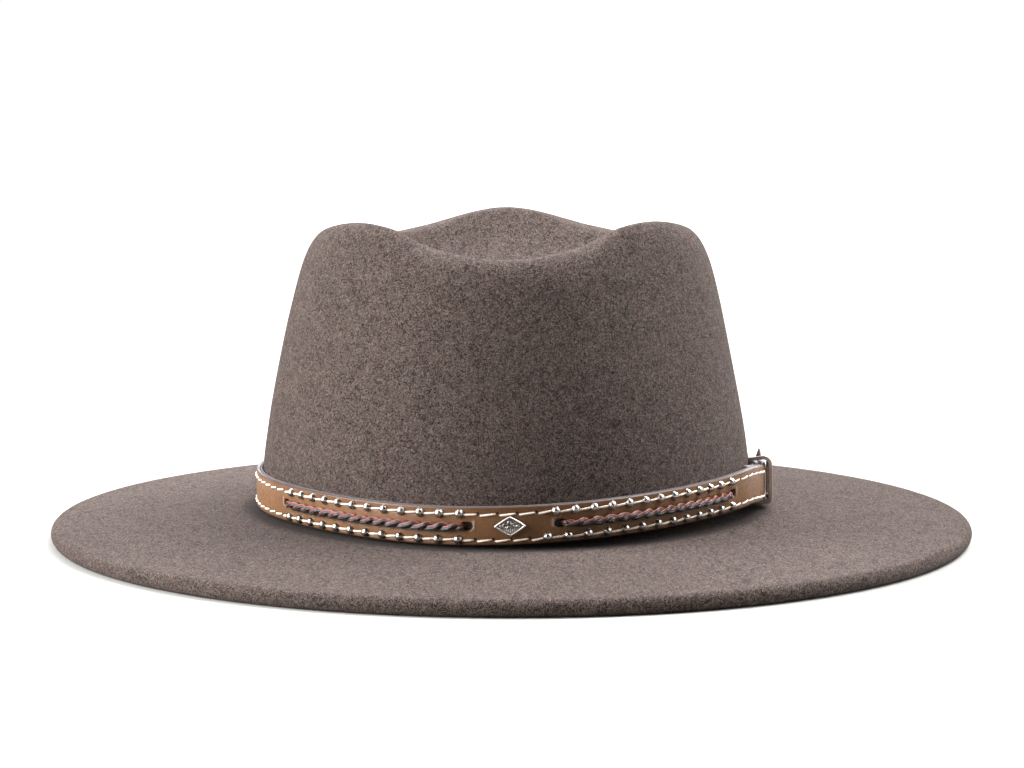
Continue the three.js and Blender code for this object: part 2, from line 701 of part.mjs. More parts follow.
function keeper() {
  const low = -GAP - BUCKLE_LOWER_BAR;
  const high = STRAP_HEIGHT + GAP + KEEPER_BAR;
  const loop = claspSleeve(KEEPER_LENGTH, KEEPER_NEAR, KEEPER_OUT, low, high, KEEPER_BAR, 0);
  const hollow = claspBox(
    [KEEPER_NEAR + KEEPER_BACK, -CUT_PAST, -GAP],
    [KEEPER_OUT - KEEPER_BAR, KEEPER_LENGTH + CUT_PAST, STRAP_HEIGHT + GAP],
  );
  return bendRound(loop.subtract(hollow), KEEPER_ANGLE);
}

const hat = new THREE.Group();
hat.add(part('felt_body', feltBody(), material('#7d716a', 0.95, 0)));
hat.add(part('band_strap', bandStrap(), material('#8a6343', 0.6, 0)));
hat.add(part('buckle', buckle(), material('#b9b2ab', 0.3, 1)));
hat.add(part('keeper_loop', keeper(), material('#8a6343', 0.6, 0)));
hat.add(part('concho', concho(), material('#c4c0b8', 0.3, 1)));
LACES.forEach((lace) => {
  hat.add(part(lace.name, laceBundle(lace), material('#4d3a36', 0.7, 0)));
});
STUD_ROWS.forEach((row) => {
  for (let i = 0; i < row.count; i += 1) {
    const geometry = stud(row.first + row.pitch * i, row.level);
    hat.add(part(`stud_${row.name}_${i + 1}`, geometry, material('#d2cfc8', 0.25, 1)));
  }
});

export default hat;
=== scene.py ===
import bpy
import numpy as np
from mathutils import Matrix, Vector


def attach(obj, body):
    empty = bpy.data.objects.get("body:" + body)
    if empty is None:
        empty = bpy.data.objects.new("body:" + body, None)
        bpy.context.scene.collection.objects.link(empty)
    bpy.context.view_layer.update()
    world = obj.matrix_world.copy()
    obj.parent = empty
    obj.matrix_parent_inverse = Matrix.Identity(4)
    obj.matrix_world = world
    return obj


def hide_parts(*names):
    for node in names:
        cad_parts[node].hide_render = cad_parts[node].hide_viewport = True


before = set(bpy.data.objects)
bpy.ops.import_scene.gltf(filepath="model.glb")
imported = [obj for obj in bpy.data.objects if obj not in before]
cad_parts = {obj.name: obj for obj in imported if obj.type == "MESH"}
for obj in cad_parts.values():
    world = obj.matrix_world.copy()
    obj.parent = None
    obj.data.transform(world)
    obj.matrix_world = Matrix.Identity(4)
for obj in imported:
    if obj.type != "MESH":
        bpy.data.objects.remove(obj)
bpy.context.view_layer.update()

bl_info = {
    "name": "Felt Hat",
    "version": (1, 0, 0),
    "blender": (4, 5, 0),
    "location": "3D View > Sidebar > Felt Hat",
    "description": "Makes a felt hat with a studded and laced leather band, and a studio for it",
    "category": "Object",
}

MM = 0.001
FULL = 2 * np.pi

# Sizes of the felt, in millimetres, the same as the CAD model's
CROWN_HALF_WIDTH = 86.0
CROWN_HALF_LENGTH = 103.5
CROWN_SHIFT = -1.9
BRIM_HALF_WIDTH = 162.8
BRIM_HALF_LENGTH = 179.5
FELT = 2.6
EDGE_RADIUS = 3.0
WELT_WIDTH = 11.0
WELT_BEVEL_WIDTH = 0.4
WELT_BEVEL_HEIGHT = 0.3
BREAK_HEIGHT = 10.5
BRIM_CURVE = 1.25
BREAK_FILLET = 2.5
STRAIGHT_WALL = 14.5
WALL_TAPER = 0.098
WALL_TAPER_POWER = 1.3
WALL_TAPER_SPAN = 50.0
OVAL_PINCH = 0.03
OVAL_FADE = 40.0
FRONT_PINCH = 0.035
FRONT_PINCH_ANGLE = 42.0
FRONT_PINCH_SPREAD = 17.0
FRONT_PINCH_START = 25.0
FRONT_PINCH_RISE = 75.0
FRONT_PINCH_POWER = 1.5
FRONT_PINCH_LIMIT = 1.2
RIM_TILT = 0.3

# Rim round the dent, one row for each direction in degrees from the front, both sides alike:
# height above the break, crest as a share of the crown's half size, depth of the shoulder's
# rounding, and its bluntness (2 is a quarter ellipse and more is squarer)
RIM_COLUMNS = ("angle", "height", "crest", "shoulder", "bluntness")
RIM = np.array([
    (0, 93.8, 0.762, 12, 2.6),
    (25, 97.3, 0.705, 14, 2.6),
    (40, 102.9, 0.71, 17, 2.8),
    (60, 103.4, 0.697, 23, 2.9),
    (90, 98.5, 0.69, 23, 3.1),
    (120, 94.0, 0.585, 26, 2.6),
    (145, 95.8, 0.53, 29, 2.8),
    (180, 101.4, 0.56, 28, 2.8),
])

# Dent in the top: its floor over the break, its middle, the slope of its sides, the width of
# the fold at its rim, how evenly the sides fall, and how the rings are spaced towards the rim
DENT_FLOOR = 80.0
DENT_CENTRE_Y = -8.0
DENT_SLOPE = 0.4
DENT_FOLD = 5.0
DENT_EVENNESS = 0.9
DENT_SPACING = 0.8

# Painted shadow under the band, darkening the felt's colour: how far out over the brim and up past
# the strap's lower edge its darkness begins to fade and is gone
PAINTED_SHADOW_OUT = (3.5, 10.0)
PAINTED_SHADOW_UP = (1.0, 5.0)

# Soft waves: heights over the band's upper edge between which they grow to their full size, and
# the distance from the middle of the crown within which they shrink
WAVES_UP = (4.0, 26.0)
WAVES_MIDDLE = 20.0

# How finely the felt is stepped: points round it, and rings on each of its stretches
FELT_SIDES = 300
DENT_STEPS = 36
SHOULDER_STEPS = 28
WALL_STEPS = 36
FILLET_STEPS = 8
BRIM_STEPS = 40
EDGE_STEPS = 14

# Sizes of the band
STRAP_BOTTOM = 12.4
STRAP_HEIGHT = 12.8
STRAP_THICKNESS = 2.0
STRAP_CORNER = 0.5
LINING_THICKNESS = 0.55
LINING_GAP = 0.05
LINING_PROUD = 0.12
STRAP_CLEARANCE = 0.45
STRAP_TILT = 1.0
STRAP_TIP_ROUNDING = 4.0
STRAP_TIP_TURN = 85.0
STRAP_TIP_STEPS = 8
GROOVE_DEPTH = 0.14
GROOVE_WIDTH = 0.75

# How finely the strap is stepped: degrees along it, points on a corner, steps on its outer face
# and on its back, and steps in the table of its length
STRAP_STEP = 0.5
CORNER_POINTS = 4
FACE_STEPS = 44
BACK_STEPS = 8
TABLE_STEPS = 720

# Worn colour of the strap and the keeper: distances from their edges at which it begins to fade
# and is gone, the same for the grey cut edge, and the most that the cut edge shows
EDGE_WEAR = (0.2, 1.5)
KEEPER_WEAR = (0.2, 1.2)
CUT_EDGE = (0.12, 0.28)
CUT_EDGE_SHARE = 0.85

# Course of the strap, from its inner end before the buckle backwards round the crown to its tip:
# angle in degrees from the front towards the wearer's left, distance off the wall, and lift
COURSE_COLUMNS = ("angle", "off", "lift")
STRAP_COURSE = np.array([
    (74, STRAP_CLEARANCE, 1.7),
    (83, 1.4, 0.4),
    (88, 1.4, -0.1),
    (103, 1.4, -2.0),
    (112, 1.4, 0.2),
    (118, 1.4, 0.2),
    (132, STRAP_CLEARANCE, -0.5),
    (200, STRAP_CLEARANCE, -0.6),
    (300, STRAP_CLEARANCE, 0.45),
    (345, STRAP_CLEARANCE, -0.55),
    (414, STRAP_CLEARANCE, 1.2),
    (430, 2.9, 2.0),
    (448, 3.9, -0.1),
    (463, 3.9, -2.0),
    (472, 3.9, 0.2),
    (484, 3.9, 0.2),
])

# Rows of studs: place of the first along the band from the front, pitch, count and level
STUD_ROWS = {
    "upper_left": (-92.6, 7.0, 12, 10.6),
    "lower_left": (-94.6, 7.15, 12, 1.95),
    "upper_right": (16.9, 6.86, 13, 10.6),
    "lower_right": (14.1, 7.2, 13, 2.1),
}
STUD_RADIUS = 1.55
STUD_SUNK = 0.1

# Foot of a stud, ring by ring: height over the leather and radius less the stud's own
STUD_FOOT = np.array([(-STUD_SUNK, -0.12), (-0.05, 0.0), (0.12, 0.0), (0.24, -0.06)])
STUD_DOME_FOOT = 0.28
STUD_DOME_INSET = 0.1
STUD_DOME_STEPS = 11
STUD_SIDES = 28

# Rows of stitches: level, and how many fill the front between the two groups of studs. There
# the rows sag a little. The thread's plies turn by so many radians in a millimetre along it and
# in half a turn round it. More stitches are laid out before and after the studs than the strap
# holds, and those past its ends are left out.
STITCH_ROWS = {"upper": (10.5, 5), "lower": (1.85, 5)}
STITCH_SAG = 0.3
STITCH_SAG_REACH = (9.0, 15.0)
STITCH_PITCH = 6.6
STITCH_GAP = 0.35
STITCH_SUNK = 0.75
STITCH_SLANT = 0.26
STITCH_STEPS = 14
STITCH_SIDES = 8
THREAD_TWIST = (14.0, 12.566)
STITCHES_BEFORE = 60
STITCHES_AFTER = 21

# Laces: the places of the two holes that each runs between
LACES = {"lace_left": (-97.0, -13.0), "lace_right": (18.4, 100.4)}
LACE_LEVEL = 6.4
LACE_END = 7.0
LACE_END_SIZE = 0.62
LACE_DIVE = 2.4
LACE_SUNK = 1.3
LACE_STAND = 1.12
LACE_SWING_UP = 0.7
LACE_SWING_OUT = 0.5
LACE_STEP = 0.35
LACE_SIDES = 12

# Strands of each ply: how far a strand's middle lies above the ply's, and its half width
LACE_STRANDS = {"red": (0.38, 0.48), "dark": (-0.3, 0.68)}

# Lace holes: the outline's half sizes, its depth, the lip that the lace has pushed up at the
# outer end, and how far along the strap is stepped finely, and how finely
HOLE_HALF_LENGTH = 2.1
HOLE_HALF_HEIGHT = 1.4
HOLE_DEPTH = 1.25
HOLE_FADE = (-0.35, 0.12)
LIP_PLACE = 2.5
LIP_HALF_WIDTH = 0.5
LIP_LEVEL = 0.4
LIP_FADE = (0.9, 2.2)
LIP_RISE = 0.22
HOLE_REACH = 3.6
HOLE_STEP = 0.2

CONCHO_PLACE = 1.4
CONCHO_HALF_WIDTH = 5.4
CONCHO_HALF_HEIGHT = 3.4
CONCHO_SUNK = 0.1
CONCHO_POWER = 1.12
CONCHO_SIDES = 200
CONCHO_STEPS = 60

# Side of the concho, ring by ring: share of its outline and height over the leather
CONCHO_SIDE = np.array([(1.0, 0.55), (0.985, 0.12), (0.93, 0.0)])
CONCHO_SIDE_RELIEF = 0.4

# Face of the concho: height of its base and of what stands on it. The rim's middle and half
# width are shares of the outline.
CONCHO_BASE = 0.62
CONCHO_RIM_RISE = 0.62
CONCHO_RIM_MIDDLE = 0.885
CONCHO_RIM_HALF_WIDTH = 0.115
SCROLL_POINTS = 60
SCROLL_RISE = 0.5
SCROLL_HALF_WIDTH = 0.27
SCROLL_THINNING = 0.09
SCROLL_FADE = (0.72, 0.8)
RIDGE_RISE = 0.12
RIDGE_FADE = (0.66, 0.8)

# Scrolls: middle along and up, radius at the start and the end, direction at the start and the end
SCROLLS = (
    (-1.75, 0.1, 1.0, 0.25, 30, 400),
    (1.6, 0.25, 0.95, 0.25, 150, -220),
    (0.0, 1.25, 0.7, 0.2, 200, -120),
    (-0.1, -0.55, 0.85, 0.3, 170, 10),
    (-2.9, 0.0, 0.5, 0.2, 0, 300),
    (2.9, 0.05, 0.5, 0.2, 180, -120),
)

# Clasp: buckle and keeper, measured off the crown's wall, along the strap and up from its edge.
# The buckle's outer side closes in towards its far end by the taper, which fades between two
# distances in from it.
BUCKLE_ANGLE = 84.0
BUCKLE_LENGTH = 11.0
BUCKLE_NEAR = 0.3
BUCKLE_BACK = 0.8
BUCKLE_OUT = 8.5
BUCKLE_BAR = 1.4
BUCKLE_SLOPE = 0.6
BUCKLE_LOWER_BAR = 0.8
BUCKLE_RISE = 1.3
BUCKLE_BAR_WIDTH = 3.0
BUCKLE_CORNER = 2.2
BUCKLE_WALL = 1.35
BUCKLE_ROUNDING = 0.32
BUCKLE_PRONG_HALF = 0.8
BUCKLE_PRONG_END = 0.9
BUCKLE_POINT_OFF = 4.4
BUCKLE_POINT_PLACE = 2.6
BUCKLE_POINT_HALF = 1.7
BUCKLE_POINT_LENGTH = 3.15
BUCKLE_POINT_SUNK = 0.45
BUCKLE_TAPER = 0.75
BUCKLE_TAPER_FADE = (1.5, 4.0)
KEEPER_ANGLE = 113.0
KEEPER_LENGTH = 6.0
KEEPER_NEAR = 0.3
KEEPER_BACK = 0.8
KEEPER_OUT = 7.5
KEEPER_BAR = 1.2
KEEPER_CORNER = 1.2
KEEPER_WALL = 1.0
KEEPER_ROUNDING = 0.25
GAP = 0.3

# How finely the clasp is stepped: on a round corner, on each side of the buckle and of the
# keeper, along a bar of the buckle, its window and the keeper, and on the prong and the point
CLASP_CORNER_STEPS = 8
BUCKLE_SIDE_POINTS = 20
KEEPER_SIDE_POINTS = 16
BUCKLE_BAR_STEPS = 8
BUCKLE_WINDOW_STEPS = 20
KEEPER_STEPS = 12
PRONG_STEPS = 30
PRONG_SIDES = 20

# Softboxes: place round the hat in degrees from the front towards the wearer's left, height in
# degrees above the floor, width and height in metres, and power in watts
SOFTBOX_DISTANCE = 1.6
SOFTBOX_TARGET = (0.0, 0.0, 0.05)
SOFTBOX_COLOUR = (1.0, 0.975, 1.01)
SOFTBOXES = {
    "softbox_left": (-80.0, 32.0, 1.0, 1.0, 35.0),
    "softbox_left_low": (-73.0, 13.0, 1.0, 0.65, 45.0),
    "softbox_left_high": (-100.0, 60.0, 1.0, 1.0, 15.0),
    "softbox_left_front": (-58.0, 25.0, 1.0, 0.65, 10.0),
    "softbox_right": (108.0, 55.0, 1.0, 1.0, 75.0),
    "softbox_right_side": (80.0, 30.0, 1.0, 1.0, 15.0),
    "softbox_right_low": (150.0, 13.0, 1.0, 0.65, 10.0),
    "softbox_back": (180.0, 50.0, 1.0, 1.0, 35.0),
    "softbox_back_low": (180.0, 13.0, 1.0, 0.65, 10.0),
}

# Camera: the point that it looks at and its clipping in metres, and its sensor in millimetres
CAMERA_AIM = (0.00019, 0.0, 0.0535)
CAMERA_CLIP = 50.0
SENSOR_WIDTH = 36.0

# Floor, in millimetres
FLOOR_RADIUS = 40000
FLOOR_GROWTH = 2.2
FLOOR_STEPS = 24
FLOOR_SIDES = 96

# Colours of small marks: sewing pricks, painted shade in the lace holes, scuffed leather, worn thong, dark
# patina
PRICK_COLOUR = (0.012, 0.008, 0.006, 1.0)
HOLE_SHADE_COLOUR = (0.006, 0.004, 0.004, 1.0)
SCUFF_COLOUR = (0.3, 0.23, 0.19, 1.0)
SPECK_COLOUR = (0.3, 0.22, 0.2, 1.0)
PATINA_COLOUR = (0.1, 0.092, 0.088, 1.0)


# Surfaces of the crown and the brim

def smooth(low, high, value):
    """Smooth step: 0 below low, 1 above high, and u*u*(3 - 2u) between them."""
    u = np.clip((value - low) / (high - low), 0.0, 1.0)
    return u * u * (3 - 2 * u)


def fading(limits, distance):
    """One up to the first limit and 0 past the second, by a smooth step between them."""
    return smooth(limits[1], limits[0], distance)


def rim_value(column, direction):
    """Smooth curve through a column of the rim table: cubics that take their slope at each row
    from the rows on both sides of it, and run level at the front and the back."""
    angles = RIM[:, 0]
    values = RIM[:, RIM_COLUMNS.index(column)]
    slopes = np.zeros(len(angles))
    slopes[1:-1] = (values[2:] - values[:-2]) / (angles[2:] - angles[:-2])
    degrees = np.degrees(np.abs(np.arctan2(np.sin(direction), np.cos(direction))))
    i = np.clip(np.searchsorted(angles, degrees, side="right") - 1, 0, len(angles) - 2)
    width = angles[i + 1] - angles[i]
    u = (degrees - angles[i]) / width
    start = (1 + 2 * u) * (1 - u) ** 2 * values[i] + u * (1 - u) ** 2 * width * slopes[i]
    end = u * u * (3 - 2 * u) * values[i + 1] + u * u * (u - 1) * width * slopes[i + 1]
    return start + end


def wall_share(height, direction):
    """How far the wall is drawn in at a height: a taper that grows with height, times a slight
    squaring-in of the oval between the axes near the break, times the two pinches in front."""
    above = np.maximum(height - STRAIGHT_WALL, 0) / WALL_TAPER_SPAN
    taper = 1 - WALL_TAPER * above ** WALL_TAPER_POWER
    oval = 1 - OVAL_PINCH * np.exp(-np.maximum(height, 0) / OVAL_FADE) * np.sin(2 * direction) ** 2
    degrees = np.degrees(np.abs(np.arctan2(np.sin(direction), np.cos(direction))))
    rise = np.clip((height - FRONT_PINCH_START) / FRONT_PINCH_RISE, 0, FRONT_PINCH_LIMIT)
    hump = np.exp(-((degrees - FRONT_PINCH_ANGLE) / FRONT_PINCH_SPREAD) ** 2)
    return taper * oval * (1 - FRONT_PINCH * rise ** FRONT_PINCH_POWER * hump)


def crown_point(share, off, direction, height):
    """Ellipse round the crown: half sizes times a share plus a distance off, at a height."""
    x = (CROWN_HALF_WIDTH * share + off) * np.sin(direction) + CROWN_SHIFT
    y = -(CROWN_HALF_LENGTH * share + off) * np.cos(direction)
    z = BREAK_HEIGHT + height + 0 * x
    return np.stack([x, y, z], axis=-1)


def brim_point(reach, direction, z):
    """Straight line from the foot of the crown, reach 0, to the brim's oval edge, reach 1."""
    base = crown_point(wall_share(0.0, direction), 0.0, direction, 0.0)
    x = BRIM_HALF_WIDTH * np.sin(direction)
    y = -BRIM_HALF_LENGTH * np.cos(direction)
    return np.stack([base[..., 0] + (x - base[..., 0]) * reach,
                     base[..., 1] + (y - base[..., 1]) * reach, z + 0 * x], axis=-1)


def reach_of(distance):
    """Share of the brim's width that a distance is."""
    return distance / (BRIM_HALF_WIDTH - CROWN_HALF_WIDTH)


def brim_height(reach):
    """The brim falls from the break to its edge by a power of the reach."""
    share = np.maximum(reach, 0) / (1 - reach_of(EDGE_RADIUS))
    return BREAK_HEIGHT - (BREAK_HEIGHT - 2 * EDGE_RADIUS) * share ** BRIM_CURVE


def both_ends(steps):
    """Shares from 0 to 1, spaced closely at both ends."""
    s = np.linspace(0, 1, steps + 1)
    return s ** 1.4 / (s ** 1.4 + (1 - s) ** 1.4)


def dent_rings(direction, steps):
    """Dent: straight lines in plan from its middle to the rim. The height falls from the rim by
    the depth times 1 - left squared, and left falls as a hyperbolic tangent of the way in."""
    height = rim_value("height", direction) + RIM_TILT * np.sin(direction)
    rim = crown_point(rim_value("crest", direction), 0.0, direction, height)
    span = np.hypot(rim[..., 0] - CROWN_SHIFT, rim[..., 1] - DENT_CENTRE_Y)
    depth = height - DENT_FLOOR
    fold = DENT_SLOPE * DENT_FOLD

    def fall(distance):
        return np.tanh(DENT_SLOPE * (np.hypot(distance, fold) - fold) / (DENT_EVENNESS * depth))

    share = ((np.arange(1, steps) / steps) ** DENT_SPACING)[:, None]
    left = 1 - fall((1 - share) * span) / fall(span)
    x = CROWN_SHIFT + (rim[..., 0] - CROWN_SHIFT) * share
    y = DENT_CENTRE_Y + (rim[..., 1] - DENT_CENTRE_Y) * share
    return np.stack([x, y, BREAK_HEIGHT + height - depth * (1 - left ** 2)], axis=-1)


def shoulder_rings(direction, steps):
    """Shoulder: a rounding of the power given in the rim table, from the crest down to the wall."""
    height = rim_value("height", direction) + RIM_TILT * np.sin(direction)
    shoulder = rim_value("shoulder", direction)
    power = 2 / rim_value("bluntness", direction)
    inset = wall_share(height, direction) - rim_value("crest", direction)
    turn = (np.pi / 2) * (1 - both_ends(steps)[:-1, None])
    up = height - shoulder + shoulder * np.sin(turn) ** power
    share = wall_share(up, direction) - inset * (1 - np.abs(np.cos(turn)) ** power)
    return crown_point(share, 0.0, direction + 0 * up, up)


def wall_rings(direction, steps):
    """Wall from the foot of the shoulder down to the fillet over the brim."""
    height = rim_value("height", direction) + RIM_TILT * np.sin(direction)
    top = height - rim_value("shoulder", direction)
    up = BREAK_FILLET + (top - BREAK_FILLET) * np.linspace(1, 0, steps + 1)[:, None]
    return crown_point(wall_share(up, direction), 0.0, direction + 0 * up, up)


def fillet_rings(direction, steps):
    """Bend between wall and brim: a quadratic curve through wall foot, corner and brim start."""
    foot = crown_point(wall_share(BREAK_FILLET, direction), 0.0, direction, BREAK_FILLET)
    corner = brim_point(0.0, direction, BREAK_HEIGHT)
    first = reach_of(BREAK_FILLET)
    start = brim_point(first, direction, brim_height(first))
    u = (np.arange(1, steps + 1) / steps)[:, None, None]
    return (1 - u) ** 2 * foot + 2 * u * (1 - u) * corner + u * u * start


def brim_reaches():
    """Reach of each ring of the brim, from the end of the fillet to where its edge turns round."""
    first = reach_of(BREAK_FILLET)
    last = 1 - reach_of(EDGE_RADIUS)
    return first + (last - first) * np.arange(1, BRIM_STEPS + 1) / BRIM_STEPS


def brim_rings(direction):
    reach = brim_reaches()[:, None]
    return brim_point(reach, direction[None, :], brim_height(reach))


def edge_rings(direction, steps):
    """Half circle round the brim's edge, from its top to the plane that the hat stands on."""
    turn = (np.pi * (0.5 - np.arange(1, steps + 1) / steps))[:, None]
    reach = 1 - reach_of(EDGE_RADIUS) * (1 - np.cos(turn))
    return brim_point(reach, direction[None, :], EDGE_RADIUS * (1 + np.sin(turn)))


def inner_side(rings, middle):
    """Every point moved in by the felt's thickness, along the cross product of the two
    directions in the surface."""
    before = np.concatenate([np.broadcast_to(middle, (1,) + rings.shape[1:]), rings[:-1]])
    after = np.concatenate([rings[1:], rings[-1:]])
    round_it = np.roll(rings, -1, axis=1) - np.roll(rings, 1, axis=1)
    inwards = np.cross(round_it, after - before)
    inwards /= np.linalg.norm(inwards, axis=-1, keepdims=True)
    return rings + FELT * inwards


# Surfaces of the band

def course_value(column, angle):
    """Value of the strap's course at an angle: smooth steps from row to row."""
    angles, values = STRAP_COURSE[:, 0], STRAP_COURSE[:, COURSE_COLUMNS.index(column)]
    at = np.clip(angle, angles[0], angles[-1])
    i = np.clip(np.searchsorted(angles, at, side="left") - 1, 0, len(angles) - 2)
    return values[i] + (values[i + 1] - values[i]) * smooth(angles[i], angles[i + 1], at)


def band_point(angle, off, level, lift):
    """Point at a distance off the crown's wall and a level over the strap's lower edge."""
    direction = np.radians(angle)
    height = STRAP_BOTTOM + level + lift + STRAP_TILT * np.sin(direction) - BREAK_HEIGHT
    return crown_point(wall_share(height, direction), off, direction, height)


def band_table():
    """Arc length of the strap's outer face at mid height, for one turn from back to back."""
    angle = np.linspace(-180, 180, TABLE_STEPS + 1)
    height = STRAP_BOTTOM + STRAP_HEIGHT / 2 - BREAK_HEIGHT
    direction = np.radians(angle)
    off = STRAP_CLEARANCE + STRAP_THICKNESS
    points = crown_point(wall_share(height, direction), off, direction, height)
    steps = np.linalg.norm(np.diff(points, axis=0), axis=1)
    place = np.concatenate([[0], np.cumsum(steps)])
    return angle, place - place[TABLE_STEPS // 2]


TABLE_ANGLE, TABLE_PLACE = band_table()
BAND_LENGTH = TABLE_PLACE[-1] - TABLE_PLACE[0]


def angle_at(place):
    """Angle from the front of a place along the band, with whole turns carried over."""
    turns = np.floor((place - TABLE_PLACE[0]) / BAND_LENGTH)
    return np.interp(place - turns * BAND_LENGTH, TABLE_PLACE, TABLE_ANGLE) + 360 * turns


def place_at(angle):
    """Place along the band of an angle from the front, with whole turns carried over."""
    turns = np.floor((angle + 180) / 360)
    return np.interp(angle - 360 * turns, TABLE_ANGLE, TABLE_PLACE) + turns * BAND_LENGTH


def strap_face(place, level, out):
    """Point over the outer face of the strap's outer turn."""
    course = angle_at(place) + 360
    off = course_value("off", course) + STRAP_THICKNESS + out
    return band_point(course, off, level, course_value("lift", course))


def strap_axes(place, level):
    """Axes on the strap's face: along it, up and out of it."""
    along = strap_face(place + 0.5, level, 0.0) - strap_face(place - 0.5, level, 0.0)
    along /= np.linalg.norm(along, axis=-1, keepdims=True)
    out = np.cross(along, np.array([0.0, 0.0, 1.0]))
    out /= np.linalg.norm(out, axis=-1, keepdims=True)
    return along, np.cross(out, along), out


def clasp_point(points, angle):
    """Bends the clasp's own measures, off, along and level, round the crown's wall."""
    turned = angle + np.degrees(points[..., 1] / CROWN_HALF_LENGTH)
    return band_point(turned, points[..., 0], points[..., 2], course_value("lift", turned + 360))


# Meshes

def ring_faces(count, sides):
    """Quads between rings of points, each ring closed on itself."""
    ring = np.arange(count - 1)[:, None] * sides
    point = np.arange(sides)[None, :]
    after = (point + 1) % sides
    corners = [ring + point, ring + sides + point, ring + sides + after, ring + after]
    return np.stack(corners, axis=-1).reshape(-1, 4)


def fan_faces(ring, point):
    """Triangles from a ring of points to one point."""
    return np.stack([ring, np.roll(ring, -1), np.full_like(ring, point)], axis=-1)


def many(faces, count, size):
    """The same faces for every one of a number of like shapes."""
    return (faces[None] + np.arange(count)[:, None, None] * size).reshape(-1, faces.shape[-1])


def tubes(rings, first, last):
    """Points, quads and triangles of like closed shapes. Each is a stack of rings, with a fan
    from its first ring to its first point and from its last ring to its last point."""
    count, steps, sides = rings.shape[:3]
    points = np.concatenate([rings.reshape(count, -1, 3), first[:, None], last[:, None]], axis=1)
    size = steps * sides + 2
    ring = np.arange(sides)
    caps = np.concatenate([fan_faces(ring, size - 2),
                           fan_faces(ring + size - 2 - sides, size - 1)[:, ::-1]])
    return points, many(ring_faces(steps, sides), count, size), many(caps, count, size)


def with_ends(values):
    """Values for the points of tubes: the two end points take the first and the last value."""
    return np.concatenate([values, values[:, :1], values[:, -1:]], axis=1)


def volume_of(points, quads, triangles):
    """Signed volume: a sixth of the sum of the triple products of all the triangles."""
    faces = np.concatenate([quads[:, [0, 1, 2]], quads[:, [0, 2, 3]], triangles]).astype(int)
    a, b, c = points[faces[:, 0]], points[faces[:, 1]], points[faces[:, 2]]
    return np.einsum("ij,ij->i", a, np.cross(b, c)).sum() / 6


def make_piece(name, slot, points, quads, triangles=None, layers=None, shares=None, closed=True):
    """Mesh object from arrays of points and faces in millimetres. A closed surface whose signed
    volume is below 0 is turned right side out. layers are UV maps, and shares are attributes
    from 0 to 1, both with one value for each point."""
    triangles = np.zeros((0, 3), int) if triangles is None else triangles
    points = points.reshape(-1, 3)
    if closed and volume_of(points - points.mean(axis=0), quads, triangles) < 0:
        quads, triangles = quads[:, ::-1], triangles[:, ::-1]
    if name in bpy.data.objects:
        raise RuntimeError(name + " is already in the scene")
    mesh = bpy.data.meshes.new(name)
    corners = np.concatenate([quads.ravel(), triangles.ravel()]).astype(np.int32)
    sizes = np.concatenate([np.full(len(quads), 4), np.full(len(triangles), 3)])
    mesh.vertices.add(len(points))
    mesh.vertices.foreach_set("co", (points * MM).astype(np.float32).ravel())
    mesh.loops.add(len(corners))
    mesh.loops.foreach_set("vertex_index", corners)
    mesh.polygons.add(len(sizes))
    mesh.polygons.foreach_set("loop_start", (np.cumsum(sizes) - sizes).astype(np.int32))
    mesh.polygons.foreach_set("use_smooth", np.ones(len(sizes), bool))
    for layer, values in (layers or {}).items():
        uv = mesh.uv_layers.new(name=layer)
        uv.data.foreach_set("uv", values.reshape(-1, 2)[corners].astype(np.float32).ravel())
    for share, values in (shares or {}).items():
        attribute = mesh.attributes.new(share, "FLOAT", "POINT")
        attribute.data.foreach_set("value", values.astype(np.float32).ravel())
    mesh.update()
    if mesh.validate(verbose=False):
        raise RuntimeError(name + " has faces that aren't valid")
    piece = bpy.data.objects.new(name, mesh)
    bpy.context.scene.collection.objects.link(piece)
    if slot:
        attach(piece, "root")
    return piece


def tube(path, across, up, half_across, half_up, sides):
    """Oval tube: rings of points round a path, in the plane of two directions at each point."""
    turn = np.linspace(0, FULL, sides, endpoint=False)
    sideways = half_across[..., None] * np.cos(turn)
    upwards = half_up[..., None] * np.sin(turn)
    return (path[..., None, :] + across[..., None, :] * sideways[..., None]
            + up[..., None, :] * upwards[..., None])


def around_share(sides):
    """How far round a tube each of its points is, from 1 down to 0 and back."""
    return np.abs(np.linspace(-1, 1, sides, endpoint=False))


# Materials

